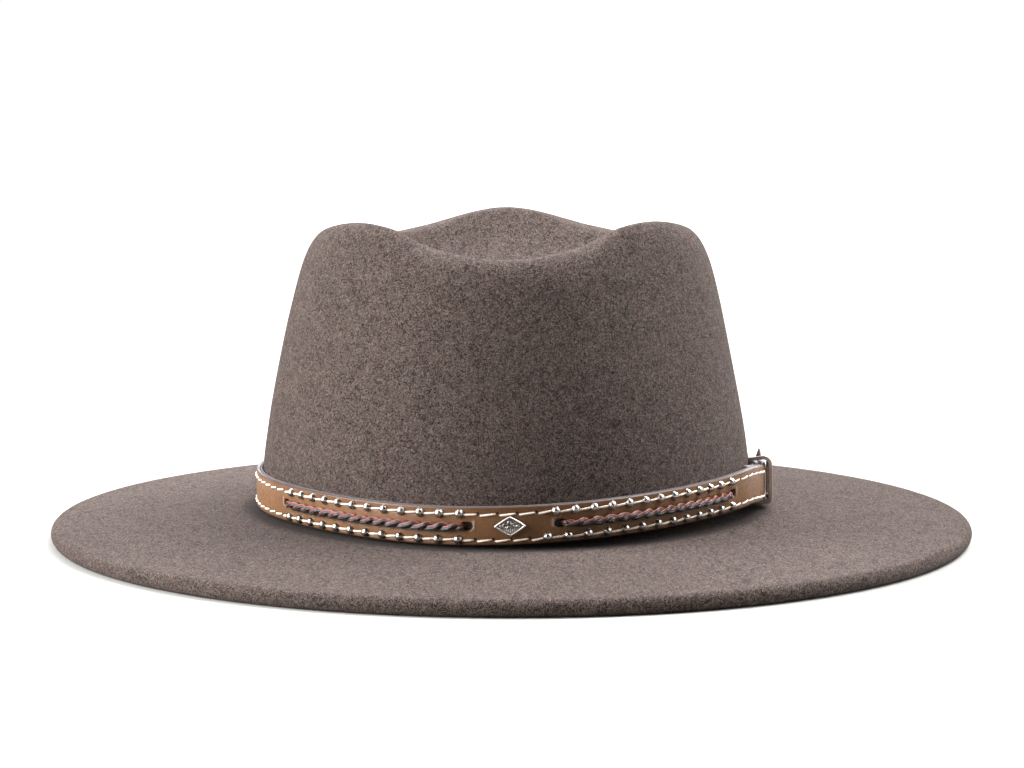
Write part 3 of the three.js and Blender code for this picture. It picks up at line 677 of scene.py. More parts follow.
class Shader:
    """A material's nodes, made in a few words."""

    def __init__(self, name):
        self.material = bpy.data.materials.new(name)
        self.material.use_nodes = True
        self.tree = self.material.node_tree
        self.tree.nodes.clear()
        self.surface = self.tree.nodes.new("ShaderNodeBsdfPrincipled")
        output = self.tree.nodes.new("ShaderNodeOutputMaterial")
        self.tree.links.new(self.surface.outputs[0], output.inputs["Surface"])
        self.coordinates = self.tree.nodes.new("ShaderNodeTexCoord").outputs["Object"]

    def node(self, kind, settings=None, **values):
        """Node with its settings; values go into sockets by name, and sockets are linked."""
        made = self.tree.nodes.new(kind)
        for key, value in (settings or {}).items():
            setattr(made, key, value)
        for key, value in values.items():
            self.put(made.inputs[key], value)
        return made

    def put(self, socket, value):
        if isinstance(value, bpy.types.NodeSocket):
            self.tree.links.new(value, socket)
        else:
            socket.default_value = value

    def math(self, operation, *values, clamp=False):
        made = self.tree.nodes.new("ShaderNodeMath")
        made.operation = operation
        made.use_clamp = clamp
        for socket, value in zip(made.inputs, values):
            self.put(socket, value)
        return made.outputs[0]

    def noise(self, scale, detail=3.0, roughness=0.55, distortion=0.0, vector=None):
        made = self.node("ShaderNodeTexNoise", Vector=vector or self.coordinates, Scale=scale,
                         Detail=detail, Roughness=roughness, Distortion=distortion)
        return made.outputs["Fac"]

    def steps(self, value, low, high, to_low=0.0, to_high=1.0):
        """Share that rises smoothly while the value goes from low to high."""
        made = self.node("ShaderNodeMapRange", {"interpolation_type": "SMOOTHSTEP"})
        for socket, number in zip(made.inputs, (value, low, high, to_low, to_high)):
            self.put(socket, number)
        return made.outputs[0]

    def mix(self, share, first, second):
        made = self.node("ShaderNodeMix", {"data_type": "RGBA"})
        for index, value in ((0, share), (6, first), (7, second)):
            self.put(made.inputs[index], value)
        return made.outputs[2]

    def attribute(self, name):
        return self.node("ShaderNodeAttribute", {"attribute_name": name}).outputs["Fac"]

    def layer(self, name):
        """The two measures of a UV map."""
        uv = self.node("ShaderNodeUVMap", {"uv_map": name}).outputs[0]
        split = self.node("ShaderNodeSeparateXYZ", Vector=uv)
        return split.outputs[0], split.outputs[1]

    def bump(self, height, distance, strength=1.0, normal=None):
        made = self.node("ShaderNodeBump", Height=height, Distance=distance, Strength=strength)
        if normal:
            self.put(made.inputs["Normal"], normal)
        return made.outputs[0]

    def finish(self, **values):
        for key, value in values.items():
            self.put(self.surface.inputs[key.replace("_", " ")], value)
        return self.material


def opaque(colour):
    return tuple(colour) + (1.0,)


def shade(colour, amount):
    """The colour made lighter or darker by a factor."""
    return opaque(min(part * amount, 1.0) for part in colour[:3])


def felt_material(felt):
    """Felt: curled fibres in cream, reddish and dark shades, each a thin band where a noise
    passes its middle value, over wide soft patches, a painted shadow under the band, and a nap that breaks
    the light up."""
    s = Shader("felt")
    base = opaque(felt.colour)

    def curls(scale, half, twist, share, vector=None):
        away = s.math("ABSOLUTE", s.math("SUBTRACT", s.noise(scale, 1.5, 0.6, twist, vector), 0.5))
        return s.math("MULTIPLY", s.steps(away, 0.3 * half, half, 1.0, 0.0), share)

    patches = s.steps(s.noise(38, 3, 0.6), 0.32, 0.68)
    fibres = s.noise(1500, 3, 0.7, 1.4)
    tint = s.mix(patches, shade(base, 0.92), shade(base, 1.08))
    tint = s.mix(s.steps(fibres, 0.38, 0.6), shade(base, 0.4), tint)
    tint = s.mix(s.steps(s.noise(420, 3, 0.65, 0.8), 0.36, 0.62, 0.35, 0.0), tint, shade(base, 0.45))
    light = opaque(felt.light_fibre)
    combed = s.node("ShaderNodeMapping", Vector=s.coordinates, Scale=(1.0, 0.35, 1.0)).outputs[0]
    tint = s.mix(curls(620, 0.05, 1.6, 0.85), tint, light)
    tint = s.mix(curls(1150, 0.05, 1.2, 0.6), tint, light)
    tint = s.mix(curls(560, 0.034, 1.4, 0.7, combed), tint, light)
    tint = s.mix(curls(480, 0.026, 2.2, 0.8), tint, opaque(felt.warm_fibre))
    tint = s.mix(curls(760, 0.04, 1.8, 0.85), tint, opaque(felt.dark_fibre))
    tint = s.mix(curls(430, 0.04, 1.4, 0.7, combed), tint, opaque(felt.dark_fibre))
    # Painted shadow under the band: the felt is darkened towards half the dark fibre's colour by the share
    # from the mesh
    painted_shadow = s.math("MULTIPLY", s.attribute("painted_shadow"), 0.85)
    tint = s.mix(painted_shadow, tint, shade(felt.dark_fibre, 0.5))
    nap = s.math("MULTIPLY", s.noise(2600, 2, 0.6, 0.8), 0.45)
    height = s.math("ADD", s.math("MULTIPLY", fibres, 0.7), nap)
    rough = s.bump(s.noise(160, 3, 0.6), 0.0005, 0.5)
    return s.finish(Base_Color=tint, Roughness=0.95, Normal=s.bump(height, 0.0004, 0.9, rough),
                    Sheen_Weight=0.055, Sheen_Roughness=0.5, Sheen_Tint=(0.9, 0.84, 0.8, 1.0),
                    Specular_IOR_Level=0.04)


def leather_material(name, colour, rubbed, stitched):
    """Smooth strap leather: fine pores, cloudy colour, darker edges and a greyer cut edge, and,
    where it is sewn, a dark prick at each end of each stitch, painted shade in the holes and scuffed lips."""
    s = Shader(name)
    base = opaque(colour)
    clouds = s.steps(s.noise(75, 4, 0.6), 0.3, 0.7)
    fine = s.noise(900, 4, 0.65)
    pores = s.node("ShaderNodeTexVoronoi", Vector=s.coordinates, Scale=1700.0).outputs["Distance"]
    tint = s.mix(clouds, shade(base, 0.84), shade(base, 1.16))
    tint = s.mix(s.math("MULTIPLY", s.steps(fine, 0.4, 0.64), 0.5), tint, shade(base, 0.7))
    tint = s.mix(s.math("MULTIPLY", s.attribute("edge"), 0.6), tint, shade(base, 0.42))
    tint = s.mix(s.attribute("rim"), tint, opaque(rubbed))
    height = s.math("ADD", s.math("MULTIPLY", fine, 0.8), s.math("MULTIPLY", pores, 0.5))
    gloss = s.steps(fine, 0.3, 0.7, 0.36, 0.52)
    if stitched:
        place, level = s.layer("strap")
        pricks = None
        for index, (row, _) in enumerate(STITCH_ROWS.values()):
            phase = s.layer("stitches")[index]
            near = s.math("SUBTRACT", s.math("FRACT", s.math("ADD", phase, 0.5)), 0.5)
            along = s.math("MULTIPLY", near, STITCH_PITCH * MM)
            across = s.math("SUBTRACT", level, row * MM)
            squares = [s.math("MULTIPLY", side, side) for side in (along, across)]
            away = s.math("SQRT", s.math("ADD", *squares))
            prick = s.steps(away, 0.0003, 0.0008, 1.0, 0.0)
            pricks = prick if pricks is None else s.math("MAXIMUM", pricks, prick)
        tint = s.mix(pricks, tint, PRICK_COLOUR)
        # Painted shade: the lace holes are darkened nearly to black where the hole share is high
        tint = s.mix(s.attribute("hole"), tint, HOLE_SHADE_COLOUR)
        tint = s.mix(s.attribute("scuff"), tint, SCUFF_COLOUR)
        height = s.math("SUBTRACT", height, s.math("MULTIPLY", pricks, 3.0))
    return s.finish(Base_Color=tint, Roughness=gloss, Normal=s.bump(height, 0.00012, 0.8),
                    Specular_IOR_Level=0.32)


def lining_material(colour):
    """Backing of the strap: pale suede with a short nap."""
    s = Shader("strap_lining")
    base = opaque(colour)
    fine = s.noise(1300, 3, 0.7)
    tint = s.mix(s.steps(fine, 0.35, 0.65), shade(base, 0.75), shade(base, 1.12))
    return s.finish(Base_Color=tint, Roughness=0.85, Normal=s.bump(fine, 0.0002, 0.7),
                    Sheen_Weight=0.2, Sheen_Roughness=0.5)


def thread_material(colour):
    """Waxed sewing thread, twisted: slanting plies along the UV map, with slight soiling."""
    s = Shader("thread")
    base = opaque(colour)
    along, around = s.layer("thread")
    along_twist, around_twist = THREAD_TWIST
    plies = s.math("ADD", s.math("MULTIPLY", along, along_twist), s.math("MULTIPLY", around, around_twist))
    twist = s.math("SINE", plies)
    soil = s.steps(s.noise(260, 3, 0.6), 0.45, 0.75)
    tint = s.mix(s.math("MULTIPLY", soil, 0.25), base, shade(base, 0.6))
    tint = s.mix(s.steps(twist, -1.0, -0.3, 0.3, 0.0), tint, shade(base, 0.55))
    return s.finish(Base_Color=tint, Roughness=0.55, Normal=s.bump(twist, 0.00006, 0.7))


def cord_material(name, colour):
    """Thong of the lacing: smooth, with grooves along it and rubbed high spots."""
    s = Shader(name)
    base = opaque(colour)
    along, around = s.layer("thong")
    drawn_out = s.node("ShaderNodeCombineXYZ", X=s.math("MULTIPLY", along, 0.9),
                       Y=s.math("MULTIPLY", around, 9.0))
    grooves = s.noise(1.0, 3, 0.6, 0.0, drawn_out.outputs[0])
    tint = s.mix(s.steps(grooves, 0.35, 0.65), shade(base, 0.5), shade(base, 1.4))
    specks = s.math("MULTIPLY", s.steps(s.noise(700, 2), 0.6, 0.75), 0.16)
    tint = s.mix(specks, tint, SPECK_COLOUR)
    return s.finish(Base_Color=tint, Roughness=0.42, Normal=s.bump(grooves, 0.0002, 0.9),
                    Specular_IOR_Level=0.45)


def metal_material(name, colour, roughness, relief=False):
    """Polished metal with hair scratches; where it has relief, dark patina lies in the hollows."""
    s = Shader(name)
    base = opaque(colour)
    haze = s.noise(420, 3, 0.6)
    scratches = s.noise(900, 2, 0.5, 0.6)
    tint = s.mix(s.math("MULTIPLY", s.steps(haze, 0.5, 0.75), 0.3), base, shade(base, 0.72))
    gloss = s.steps(haze, 0.35, 0.75, roughness, roughness + 0.12)
    if relief:
        hollow = s.math("SUBTRACT", 1.0, s.attribute("relief"), clamp=True)
        hollow = s.math("MULTIPLY", hollow, s.steps(s.noise(1500, 3), 0.2, 0.5, 0.75, 1.0), clamp=True)
        tint = s.mix(s.math("MULTIPLY", hollow, 0.8), tint, PATINA_COLOUR)
        gloss = s.math("ADD", gloss, s.math("MULTIPLY", hollow, 0.2))
    return s.finish(Base_Color=tint, Metallic=1.0, Roughness=gloss,
                    Normal=s.bump(scratches, 0.00002, 0.12))


def floor_material(colour):
    """Plain floor, lit from within where it runs out far behind the hat."""
    s = Shader("studio_floor")
    base = opaque(colour)
    place = s.node("ShaderNodeVectorMath", {"operation": "LENGTH"}, Vector=s.coordinates).outputs["Value"]
    glow = s.steps(place, 0.4, 2.6, 0.0, 1.0)
    return s.finish(Base_Color=base, Roughness=0.9, Specular_IOR_Level=0.1,
                    Emission_Color=(1.0, 0.998, 0.994, 1.0), Emission_Strength=glow)


# Settings

def length(name, description, default, least, most):
    return bpy.props.FloatProperty(name=name, description=description, default=default * MM,
                                   min=least * MM, max=most * MM, unit="LENGTH", precision=5)


def colour(name, description, default):
    return bpy.props.FloatVectorProperty(name=name, description=description, default=default,
                                         min=0.0, max=1.0, size=3, subtype="COLOR")


class FeltSettings(bpy.types.PropertyGroup):
    colour: colour("Felt", "Main colour of the felt", (0.038, 0.0303, 0.0262))
    light_fibre: colour("Light fibre", "Colour of the palest fibres", (0.118, 0.097, 0.083))
    warm_fibre: colour("Warm fibre", "Colour of the reddish fibres", (0.105, 0.055, 0.042))
    dark_fibre: colour("Dark fibre", "Colour of the darkest fibres", (0.006, 0.0048, 0.0042))
    unevenness: length("Unevenness", "Scale of the soft waves in the crown, the deepest is about twice it",
                       0.35, 0, 1)


class BandSettings(bpy.types.PropertyGroup):
    leather: colour("Leather", "Colour of the strap and its keeper", (0.125, 0.058, 0.021))
    rubbed: colour("Cut edge", "Colour of the strap's cut edges", (0.055, 0.045, 0.044))
    lining: colour("Lining", "Colour of the strap's backing", (0.075, 0.062, 0.068))
    thread: colour("Thread", "Colour of the stitching", (0.66, 0.58, 0.47))
    red_thong: colour("Red thong", "Colour of the lacing's red strands", (0.165, 0.042, 0.027))
    dark_thong: colour("Dark thong", "Colour of the lacing's dark strands", (0.006, 0.008, 0.0084))
    silver: colour("Silver", "Colour of the studs and the concho", (0.64, 0.6, 0.54))
    buckle: colour("Buckle", "Colour of the buckle's old silver", (0.5, 0.42, 0.38))
    thread_width: length("Thread width", "Width of the sewing thread", 0.78, 0.3, 1.2)
    stud_height: length("Stud height", "Height of a stud's dome", 1.5, 0.6, 1.6)
    lay: length("Lay of the lacing", "Length of one full turn of the four strands", 10.3, 6, 20)


class StudioSettings(bpy.types.PropertyGroup):
    floor: colour("Floor", "Colour of the floor", (0.332, 0.337, 0.313))
    light: bpy.props.FloatProperty(
        name="Softboxes", description="Brightness of the softboxes, 1 is as set up", default=1.0,
        min=0, max=10)
    room: bpy.props.FloatProperty(
        name="Room", description="Brightness of the room overhead", default=0.02, min=0, max=3)
    elevation: bpy.props.FloatProperty(
        name="Camera elevation", description="Angle of the view above the floor",
        default=np.radians(6.61), min=0, max=np.pi / 2, subtype="ANGLE")
    distance: length("Camera distance", "Distance from the camera to the hat", 1500, 500, 5000)
    lens: bpy.props.FloatProperty(
        name="Lens", description="Focal length in millimetres", default=148.71, min=20, max=400,
        subtype="DISTANCE_CAMERA")


# Pieces

class FELTHAT_OT_felt(bpy.types.Operator):
    """Crown and brim in one felt wall, with its dent, its rounded edge and its turned-under welt"""
    bl_idname = "felt_hat.felt"
    bl_label = "Felt"

    def execute(self, context):
        settings = context.scene.felt_hat_felt
        direction = np.linspace(0, FULL, FELT_SIDES, endpoint=False)
        upper = np.concatenate([dent_rings(direction, DENT_STEPS), shoulder_rings(direction, SHOULDER_STEPS),
                                wall_rings(direction, WALL_STEPS), fillet_rings(direction, FILLET_STEPS),
                                brim_rings(direction)])
        upper = self.waves(upper, settings.unevenness / MM)
        middle = np.array([[CROWN_SHIFT, DENT_CENTRE_Y, BREAK_HEIGHT + DENT_FLOOR]])
        welt = 1 - reach_of(WELT_WIDTH)
        within_welt = int((brim_reaches() >= welt - reach_of(FELT)).sum())
        inner = inner_side(upper, middle[0])[:len(upper) - within_welt]
        inner = inner[np.r_[0:len(inner) - 1:2, len(inner) - 1]][::-1]
        rings = np.concatenate([upper, edge_rings(direction, EDGE_STEPS), self.welt_foot(direction, welt),
                                inner])
        points, quads, triangles = tubes(rings[None], middle, middle - [[0, 0, FELT]])
        # Share of the shadow under the band that is painted into the felt, on its upper side only
        painted_shadow = np.zeros(points.shape[1])
        painted_shadow[:len(upper) * FELT_SIDES] = self.painted_shadow(upper).reshape(-1)
        piece = make_piece("felt", "felt", points, quads, triangles, shares={"painted_shadow": painted_shadow})
        piece.data.materials.append(felt_material(settings))
        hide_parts("felt_body")
        return {"FINISHED"}

    def welt_foot(self, direction, welt):
        """End of the turned-under felt: up from the floor to the brim's inner side, with both
        corners bevelled."""
        bevel = reach_of(WELT_BEVEL_WIDTH)
        under = brim_height(welt) - FELT
        return np.stack([brim_point(welt + bevel, direction, 0.0),
                         brim_point(welt, direction, WELT_BEVEL_HEIGHT),
                         brim_point(welt, direction, under - WELT_BEVEL_HEIGHT),
                         brim_point(welt - bevel, direction, under)])

    def painted_shadow(self, rings):
        """Share of the shadow under the band that is painted into the felt: one at the bend, falling
        by smooth steps of the distance out over the brim and of the height up the wall."""
        foot = crown_point(wall_share(BREAK_FILLET, 0.0), 0.0, 0.0, BREAK_FILLET)[..., 2]
        wall = np.abs(rings[..., 2] - foot).mean(axis=1).argmin()
        away = np.linalg.norm(rings[..., :2] - rings[wall, :, :2], axis=-1)
        up = rings[..., 2] - STRAP_BOTTOM
        return fading(PAINTED_SHADOW_OUT, away) * fading(PAINTED_SHADOW_UP, up)

    def waves(self, rings, height):
        """Soft waves: the crown drawn in by a sum of sines of the place, cut off where it would
        stand out, and faded out towards the band and the middle of the dent."""
        x, y, z = rings[..., 0], rings[..., 1], rings[..., 2]
        wave = (np.sin(x / 17 + 1.3 * np.sin(y / 23 + 0.7)) * np.sin(z / 13 + 0.9 * np.sin(x / 29))
                + 0.6 * np.sin(y / 15 + z / 19 + 2.1) * np.sin(x / 24 - z / 27 + 0.4))
        fade = smooth(*WAVES_UP, z - STRAP_BOTTOM - STRAP_HEIGHT)
        plan = np.stack([x - CROWN_SHIFT, y, 0 * x], axis=-1)
        plan /= np.maximum(np.linalg.norm(plan, axis=-1, keepdims=True), WAVES_MIDDLE)
        return rings - plan * (height * np.maximum(wave + 0.6, 0) * fade)[..., None]


class FELTHAT_OT_strap(bpy.types.Operator):
    """Leather strap of two layers, with worn edges, sewing grooves and the four lace holes"""
    bl_idname = "felt_hat.strap"
    bl_label = "Strap"

    def execute(self, context):
        settings = context.scene.felt_hat_band
        first, last = STRAP_COURSE[0, 0], STRAP_COURSE[-1, 0]
        holes = np.array([place for ends in LACES.values() for place in ends])
        near_hole = np.arange(-HOLE_REACH, HOLE_REACH + 0.01, HOLE_STEP)
        stations = [np.arange(first, last, STRAP_STEP), [last]]
        stations += [angle_at(place + near_hole) + 360 for place in holes]
        angle = np.unique(np.round(np.concatenate(stations), 3))
        turn = np.radians(STRAP_TIP_TURN * np.arange(1, STRAP_TIP_STEPS + 1) / STRAP_TIP_STEPS)
        trim = np.concatenate([np.zeros(len(angle)), STRAP_TIP_ROUNDING * (1 - np.cos(turn))])
        further = np.degrees(STRAP_TIP_ROUNDING * np.sin(turn) / CROWN_HALF_LENGTH)
        angle = np.concatenate([angle, last + further])
        leather = self.layer("strap", angle, trim, LINING_THICKNESS + LINING_GAP, STRAP_THICKNESS, 0.0, holes)
        leather.data.materials.append(
            leather_material("strap_leather", settings.leather, settings.rubbed, True))
        backing = self.layer("strap_lining", angle[::3], trim[::3], 0.0, LINING_THICKNESS, LINING_PROUD, None)
        backing.data.materials.append(lining_material(settings.lining))
        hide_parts("band_strap")
        return {"FINISHED"}

    def section(self, near, out, low, high, corner, steps):
        """Rounded rectangle: off and level of its points, with the outer face finely stepped."""
        turn = np.linspace(0, np.pi / 2, CORNER_POINTS)
        arc = np.stack([np.cos(turn), np.sin(turn)], axis=-1) * corner
        face = np.linspace(low + corner, high - corner, steps + 1)[1:-1]
        back = np.linspace(high - corner, low + corner, BACK_STEPS + 1)[1:-1]
        parts = [
            np.stack([out - corner + arc[::-1, 0], low + corner - arc[::-1, 1]], axis=-1),
            np.stack([0 * face + out, face], axis=-1),
            np.stack([out - corner + arc[:, 0], high - corner + arc[:, 1]], axis=-1),
            np.stack([near + corner - arc[::-1, 0], high - corner + arc[::-1, 1]], axis=-1),
            np.stack([0 * back + near, back], axis=-1),
            np.stack([near + corner - arc[:, 0], low + corner - arc[:, 1]], axis=-1),
        ]
        return np.concatenate(parts)

    def layer(self, name, angle, trim, near, out, proud, holes):
        """One layer of the strap: a rounded rectangle carried along the course, squeezed where
        the tip is trimmed. Its outer face sinks by a bell over each sewing row and at the holes."""
        corner = min(STRAP_CORNER, (out - near) / 2 - 0.02)
        steps = BACK_STEPS if holes is None else FACE_STEPS
        section = self.section(near, out, -proud, STRAP_HEIGHT + proud, corner, steps)
        off, level = section[:, 0][None, :], section[:, 1][None, :]
        squeeze = 1 - 2 * trim[:, None] / STRAP_HEIGHT
        level = STRAP_HEIGHT / 2 + (level - STRAP_HEIGHT / 2) * squeeze
        place = place_at(angle)[:, None] - BAND_LENGTH
        off = off + 0 * place
        worn = fading(EDGE_WEAR, level / squeeze) + fading(EDGE_WEAR, STRAP_HEIGHT - level)
        from_edge = STRAP_HEIGHT / 2 - np.abs(level - STRAP_HEIGHT / 2) / squeeze
        shares = {"edge": np.clip(worn, 0, 1), "rim": CUT_EDGE_SHARE * fading(CUT_EDGE, from_edge) + 0 * off}
        if holes is not None:
            outer = smooth(out - 0.5, out - 0.05, off)
            for row, _ in STITCH_ROWS.values():
                off = off - outer * GROOVE_DEPTH * np.exp(-((level - row) / GROOVE_WIDTH) ** 2)
            hole, lip = self.hole_shares(holes, place, level)
            off = off - outer * (HOLE_DEPTH * hole - LIP_RISE * lip)
            # The hole's depth share also marks where the shade in the hole is painted near black
            shares["hole"] = hole * outer
            shares["scuff"] = 0.5 * lip * outer * (1 - hole)
        points = band_point(angle[:, None] + 0 * level, course_value("off", angle)[:, None] + off, level,
                            course_value("lift", angle)[:, None])
        places, levels = np.broadcast_arrays(place, level)
        uv = np.stack([places, levels], axis=-1).reshape(1, -1, 2) * MM
        phases = np.stack([stitch_phase(row, places) for row in STITCH_ROWS], axis=-1).reshape(1, -1, 2)
        ends = points[[0, -1]].mean(axis=1)
        return make_piece(name, "strap_leather", *tubes(points[None], ends[:1], ends[1:]),
                          {"strap": with_ends(uv), "stitches": with_ends(phases)},
                          {key: with_ends(value.reshape(1, -1)) for key, value in shares.items()})

    def hole_shares(self, holes, place, level):
        """Shares of the depth of the holes and of the lips at their outer ends. A hole falls by
        a smooth step of the distance to its outline, and a lip is a bell over the place."""
        hole, lip = 0 * (place + level), 0 * (place + level)
        for at, outwards in zip(holes, (-1, 1, -1, 1)):
            beyond = np.maximum(np.abs(place - at) - (HOLE_HALF_LENGTH - HOLE_HALF_HEIGHT), 0)
            away = np.hypot(beyond, level - LACE_LEVEL) - HOLE_HALF_HEIGHT
            hole = np.maximum(hole, fading(HOLE_FADE, away))
            stripe = np.exp(-((place - at - outwards * LIP_PLACE) / LIP_HALF_WIDTH) ** 2)
            lip = np.maximum(lip, stripe * fading(LIP_FADE, np.abs(level - LACE_LEVEL - LIP_LEVEL)))
        return hole, lip


def stitch_places(row):
    """Places of the pricks of one row: under every stud, evenly between the groups of studs,
    and on at the usual pitch beyond them."""
    _, front = STITCH_ROWS[row]
    left, right = STUD_ROWS[row + "_left"], STUD_ROWS[row + "_right"]
    left = left[0] + left[1] * np.arange(left[2])
    right = right[0] + right[1] * np.arange(right[2])
    between = np.linspace(left[-1], right[0], front + 1)[1:-1]
    before = left[0] - STITCH_PITCH * np.arange(STITCHES_BEFORE, 0, -1)
    after = right[-1] + STITCH_PITCH * np.arange(1, STITCHES_AFTER + 1)
    return np.concatenate([before, left, between, right, after])


def stitch_phase(row, place):
    """Number of the prick at a place, whole at a prick and even between two of them."""
    places = stitch_places(row)
    return np.interp(place, places, np.arange(len(places), dtype=float))


class FELTHAT_OT_stitching(bpy.types.Operator):
    """Cream stitches along both edges of the strap, each one pulled into its two pricks"""
    bl_idname = "felt_hat.stitching"
    bl_label = "Stitching"

    def execute(self, context):
        settings = context.scene.felt_hat_band
        half = settings.thread_width / MM / 2
        first, last = place_at(STRAP_COURSE[0, 0] + 1.2), place_at(STRAP_COURSE[-1, 0] - 1.0)
        starts, ends, levels = [], [], []
        for row, (level, _) in STITCH_ROWS.items():
            places = stitch_places(row)
            inside = (places[:-1] > first - BAND_LENGTH) & (places[1:] < last - BAND_LENGTH)
            starts.append(places[:-1][inside])
            ends.append(places[1:][inside])
            levels.append(np.full(inside.sum(), level))
        start, end, level = (np.concatenate(values)[:, None] for values in (starts, ends, levels))
        u = both_ends(STITCH_STEPS)
        place = start + STITCH_GAP + (end - start - 2 * STITCH_GAP) * u
        uneven = 0.12 * np.sin(start * 3.7) + 0.08 * np.sin(start * 1.3 + 1)
        sag = STITCH_SAG * fading(STITCH_SAG_REACH, np.abs(place))
        rise = level - sag + STITCH_SLANT * (u - 0.5) * 2 + uneven * 0.5
        arch = np.sin(np.pi * u) ** 0.35
        path = strap_face(place, rise, (STITCH_SUNK + half * 0.62) * arch - STITCH_SUNK)
        _, up, outwards = strap_axes(place, rise)
        width = half * (0.55 + 0.45 * arch)
        rings = tube(path, outwards, up, width * 0.8, width, STITCH_SIDES)
        uv = np.stack(np.broadcast_arrays((place - start)[..., None], around_share(STITCH_SIDES)), axis=-1)
        piece = make_piece("stitching", "strap_leather", *tubes(rings, path[:, 0], path[:, -1]),
                           {"thread": with_ends(uv.reshape(len(uv), -1, 2))})
        piece.data.materials.append(thread_material(settings.thread))
        return {"FINISHED"}


class FELTHAT_OT_studs(bpy.types.Operator):
    """Domed studs in two rows on each side of the front"""
    bl_idname = "felt_hat.studs"
    bl_label = "Studs"

    def execute(self, context):
        settings = context.scene.felt_hat_band
        height = settings.stud_height / MM
        places, levels, names = [], [], []
        for row, (first, pitch, count, level) in STUD_ROWS.items():
            places.append(first + pitch * np.arange(count))
            levels.append(np.full(count, level))
            names += ["stud_%s_%d" % (row, i + 1) for i in range(count)]
        place, level = np.concatenate(places), np.concatenate(levels)
        centre = strap_face(place, level, 0.0)
        along, up, out = strap_axes(place, level)
        rise = np.linspace(0, np.pi / 2, STUD_DOME_STEPS + 1)[:-1]
        dome = STUD_DOME_FOOT + (height - STUD_DOME_FOOT) * np.sin(rise)
        stand = np.concatenate([STUD_FOOT[:, 0], dome])[:, None, None]
        radius = np.concatenate([STUD_RADIUS + STUD_FOOT[:, 1],
                                 (STUD_RADIUS - STUD_DOME_INSET) * np.cos(rise)])[:, None]
        turn = np.linspace(0, FULL, STUD_SIDES, endpoint=False)
        sideways, upwards = radius * np.cos(turn), radius * np.sin(turn)
        rings = (centre[:, None, None] + along[:, None, None] * sideways[..., None]
                 + up[:, None, None] * upwards[..., None] + out[:, None, None] * stand)
        piece = make_piece("studs", "stud_metal",
                           *tubes(rings, centre - out * STUD_SUNK, centre + out * height))
        dark_silver = shade(settings.silver, 0.7)[:3]
        piece.data.materials.append(metal_material("stud_silver", dark_silver, 0.25))
        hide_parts(*names)
        return {"FINISHED"}


class FELTHAT_OT_lacing(bpy.types.Operator):
    """Two laces of two plies, each ply a red strand beside a dark one, laid round each other"""
    bl_idname = "felt_hat.lacing"
    bl_label = "Lacing"

    def execute(self, context):
        settings = context.scene.felt_hat_band
        materials = {"red": cord_material("red_thong", settings.red_thong),
                     "dark": cord_material("dark_thong", settings.dark_thong)}
        lay = settings.lay / MM
        for name, (start, end) in LACES.items():
            for colour_name, (beside, half) in LACE_STRANDS.items():
                strands = [self.strand(start, end, phase, beside, half, lay) for phase in (0.0, np.pi)]
                rings, uv = (np.stack(values) for values in zip(*strands))
                ends = rings[:, [0, -1]].mean(axis=2)
                piece = make_piece(name + "_" + colour_name, "lace_leather",
                                   *tubes(rings, ends[:, 0], ends[:, 1]),
                                   {"thong": with_ends(uv.reshape(len(uv), -1, 2))})
                piece.data.materials.append(materials[colour_name])
                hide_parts(name)
        return {"FINISHED"}

    def strand(self, start, end, phase, beside, half, lay):
        """Strand of one ply. The ply's middle goes round the lace's own line as an oval spiral,
        a sine up and a cosine out, one turn in each lay; the strand keeps its place above or
        below the ply's middle. Both close in towards the ends and dive into the holes."""
        place = np.arange(start, end + 0.01, LACE_STEP)
        from_end = np.minimum(place - start, end - place)
        full = smooth(0.0, LACE_END, from_end)
        halves = np.round(2 * (end - start) / lay)
        turn = phase + np.pi * halves * (place - start) / (end - start)
        turn = turn + 0.22 * np.sin(place * 0.83 + phase)
        size = LACE_END_SIZE + (1 - LACE_END_SIZE) * full
        level = LACE_LEVEL + size * (LACE_SWING_UP * np.sin(turn) + beside)
        stand = LACE_STAND + LACE_SWING_OUT * np.cos(turn) + 0.12 * np.sin(3 * turn)
        path = strap_face(place, level, (stand + LACE_SUNK) * smooth(0.0, LACE_DIVE, from_end) - LACE_SUNK)
        _, up, _ = strap_axes(place, level)
        along = np.gradient(path, axis=0)
        along /= np.linalg.norm(along, axis=-1, keepdims=True)
        up = up - along * np.sum(up * along, axis=-1, keepdims=True)
        up /= np.linalg.norm(up, axis=-1, keepdims=True)
        outwards = np.cross(along, up)
        narrow = 1 - 0.14 * smooth(0.3, 1.0, -np.cos(turn))
        wide = half * size * narrow
        rings = tube(path, outwards, up, wide * 0.86, wide, LACE_SIDES)
        return rings, np.stack(np.broadcast_arrays(place[:, None], around_share(LACE_SIDES)), axis=-1)


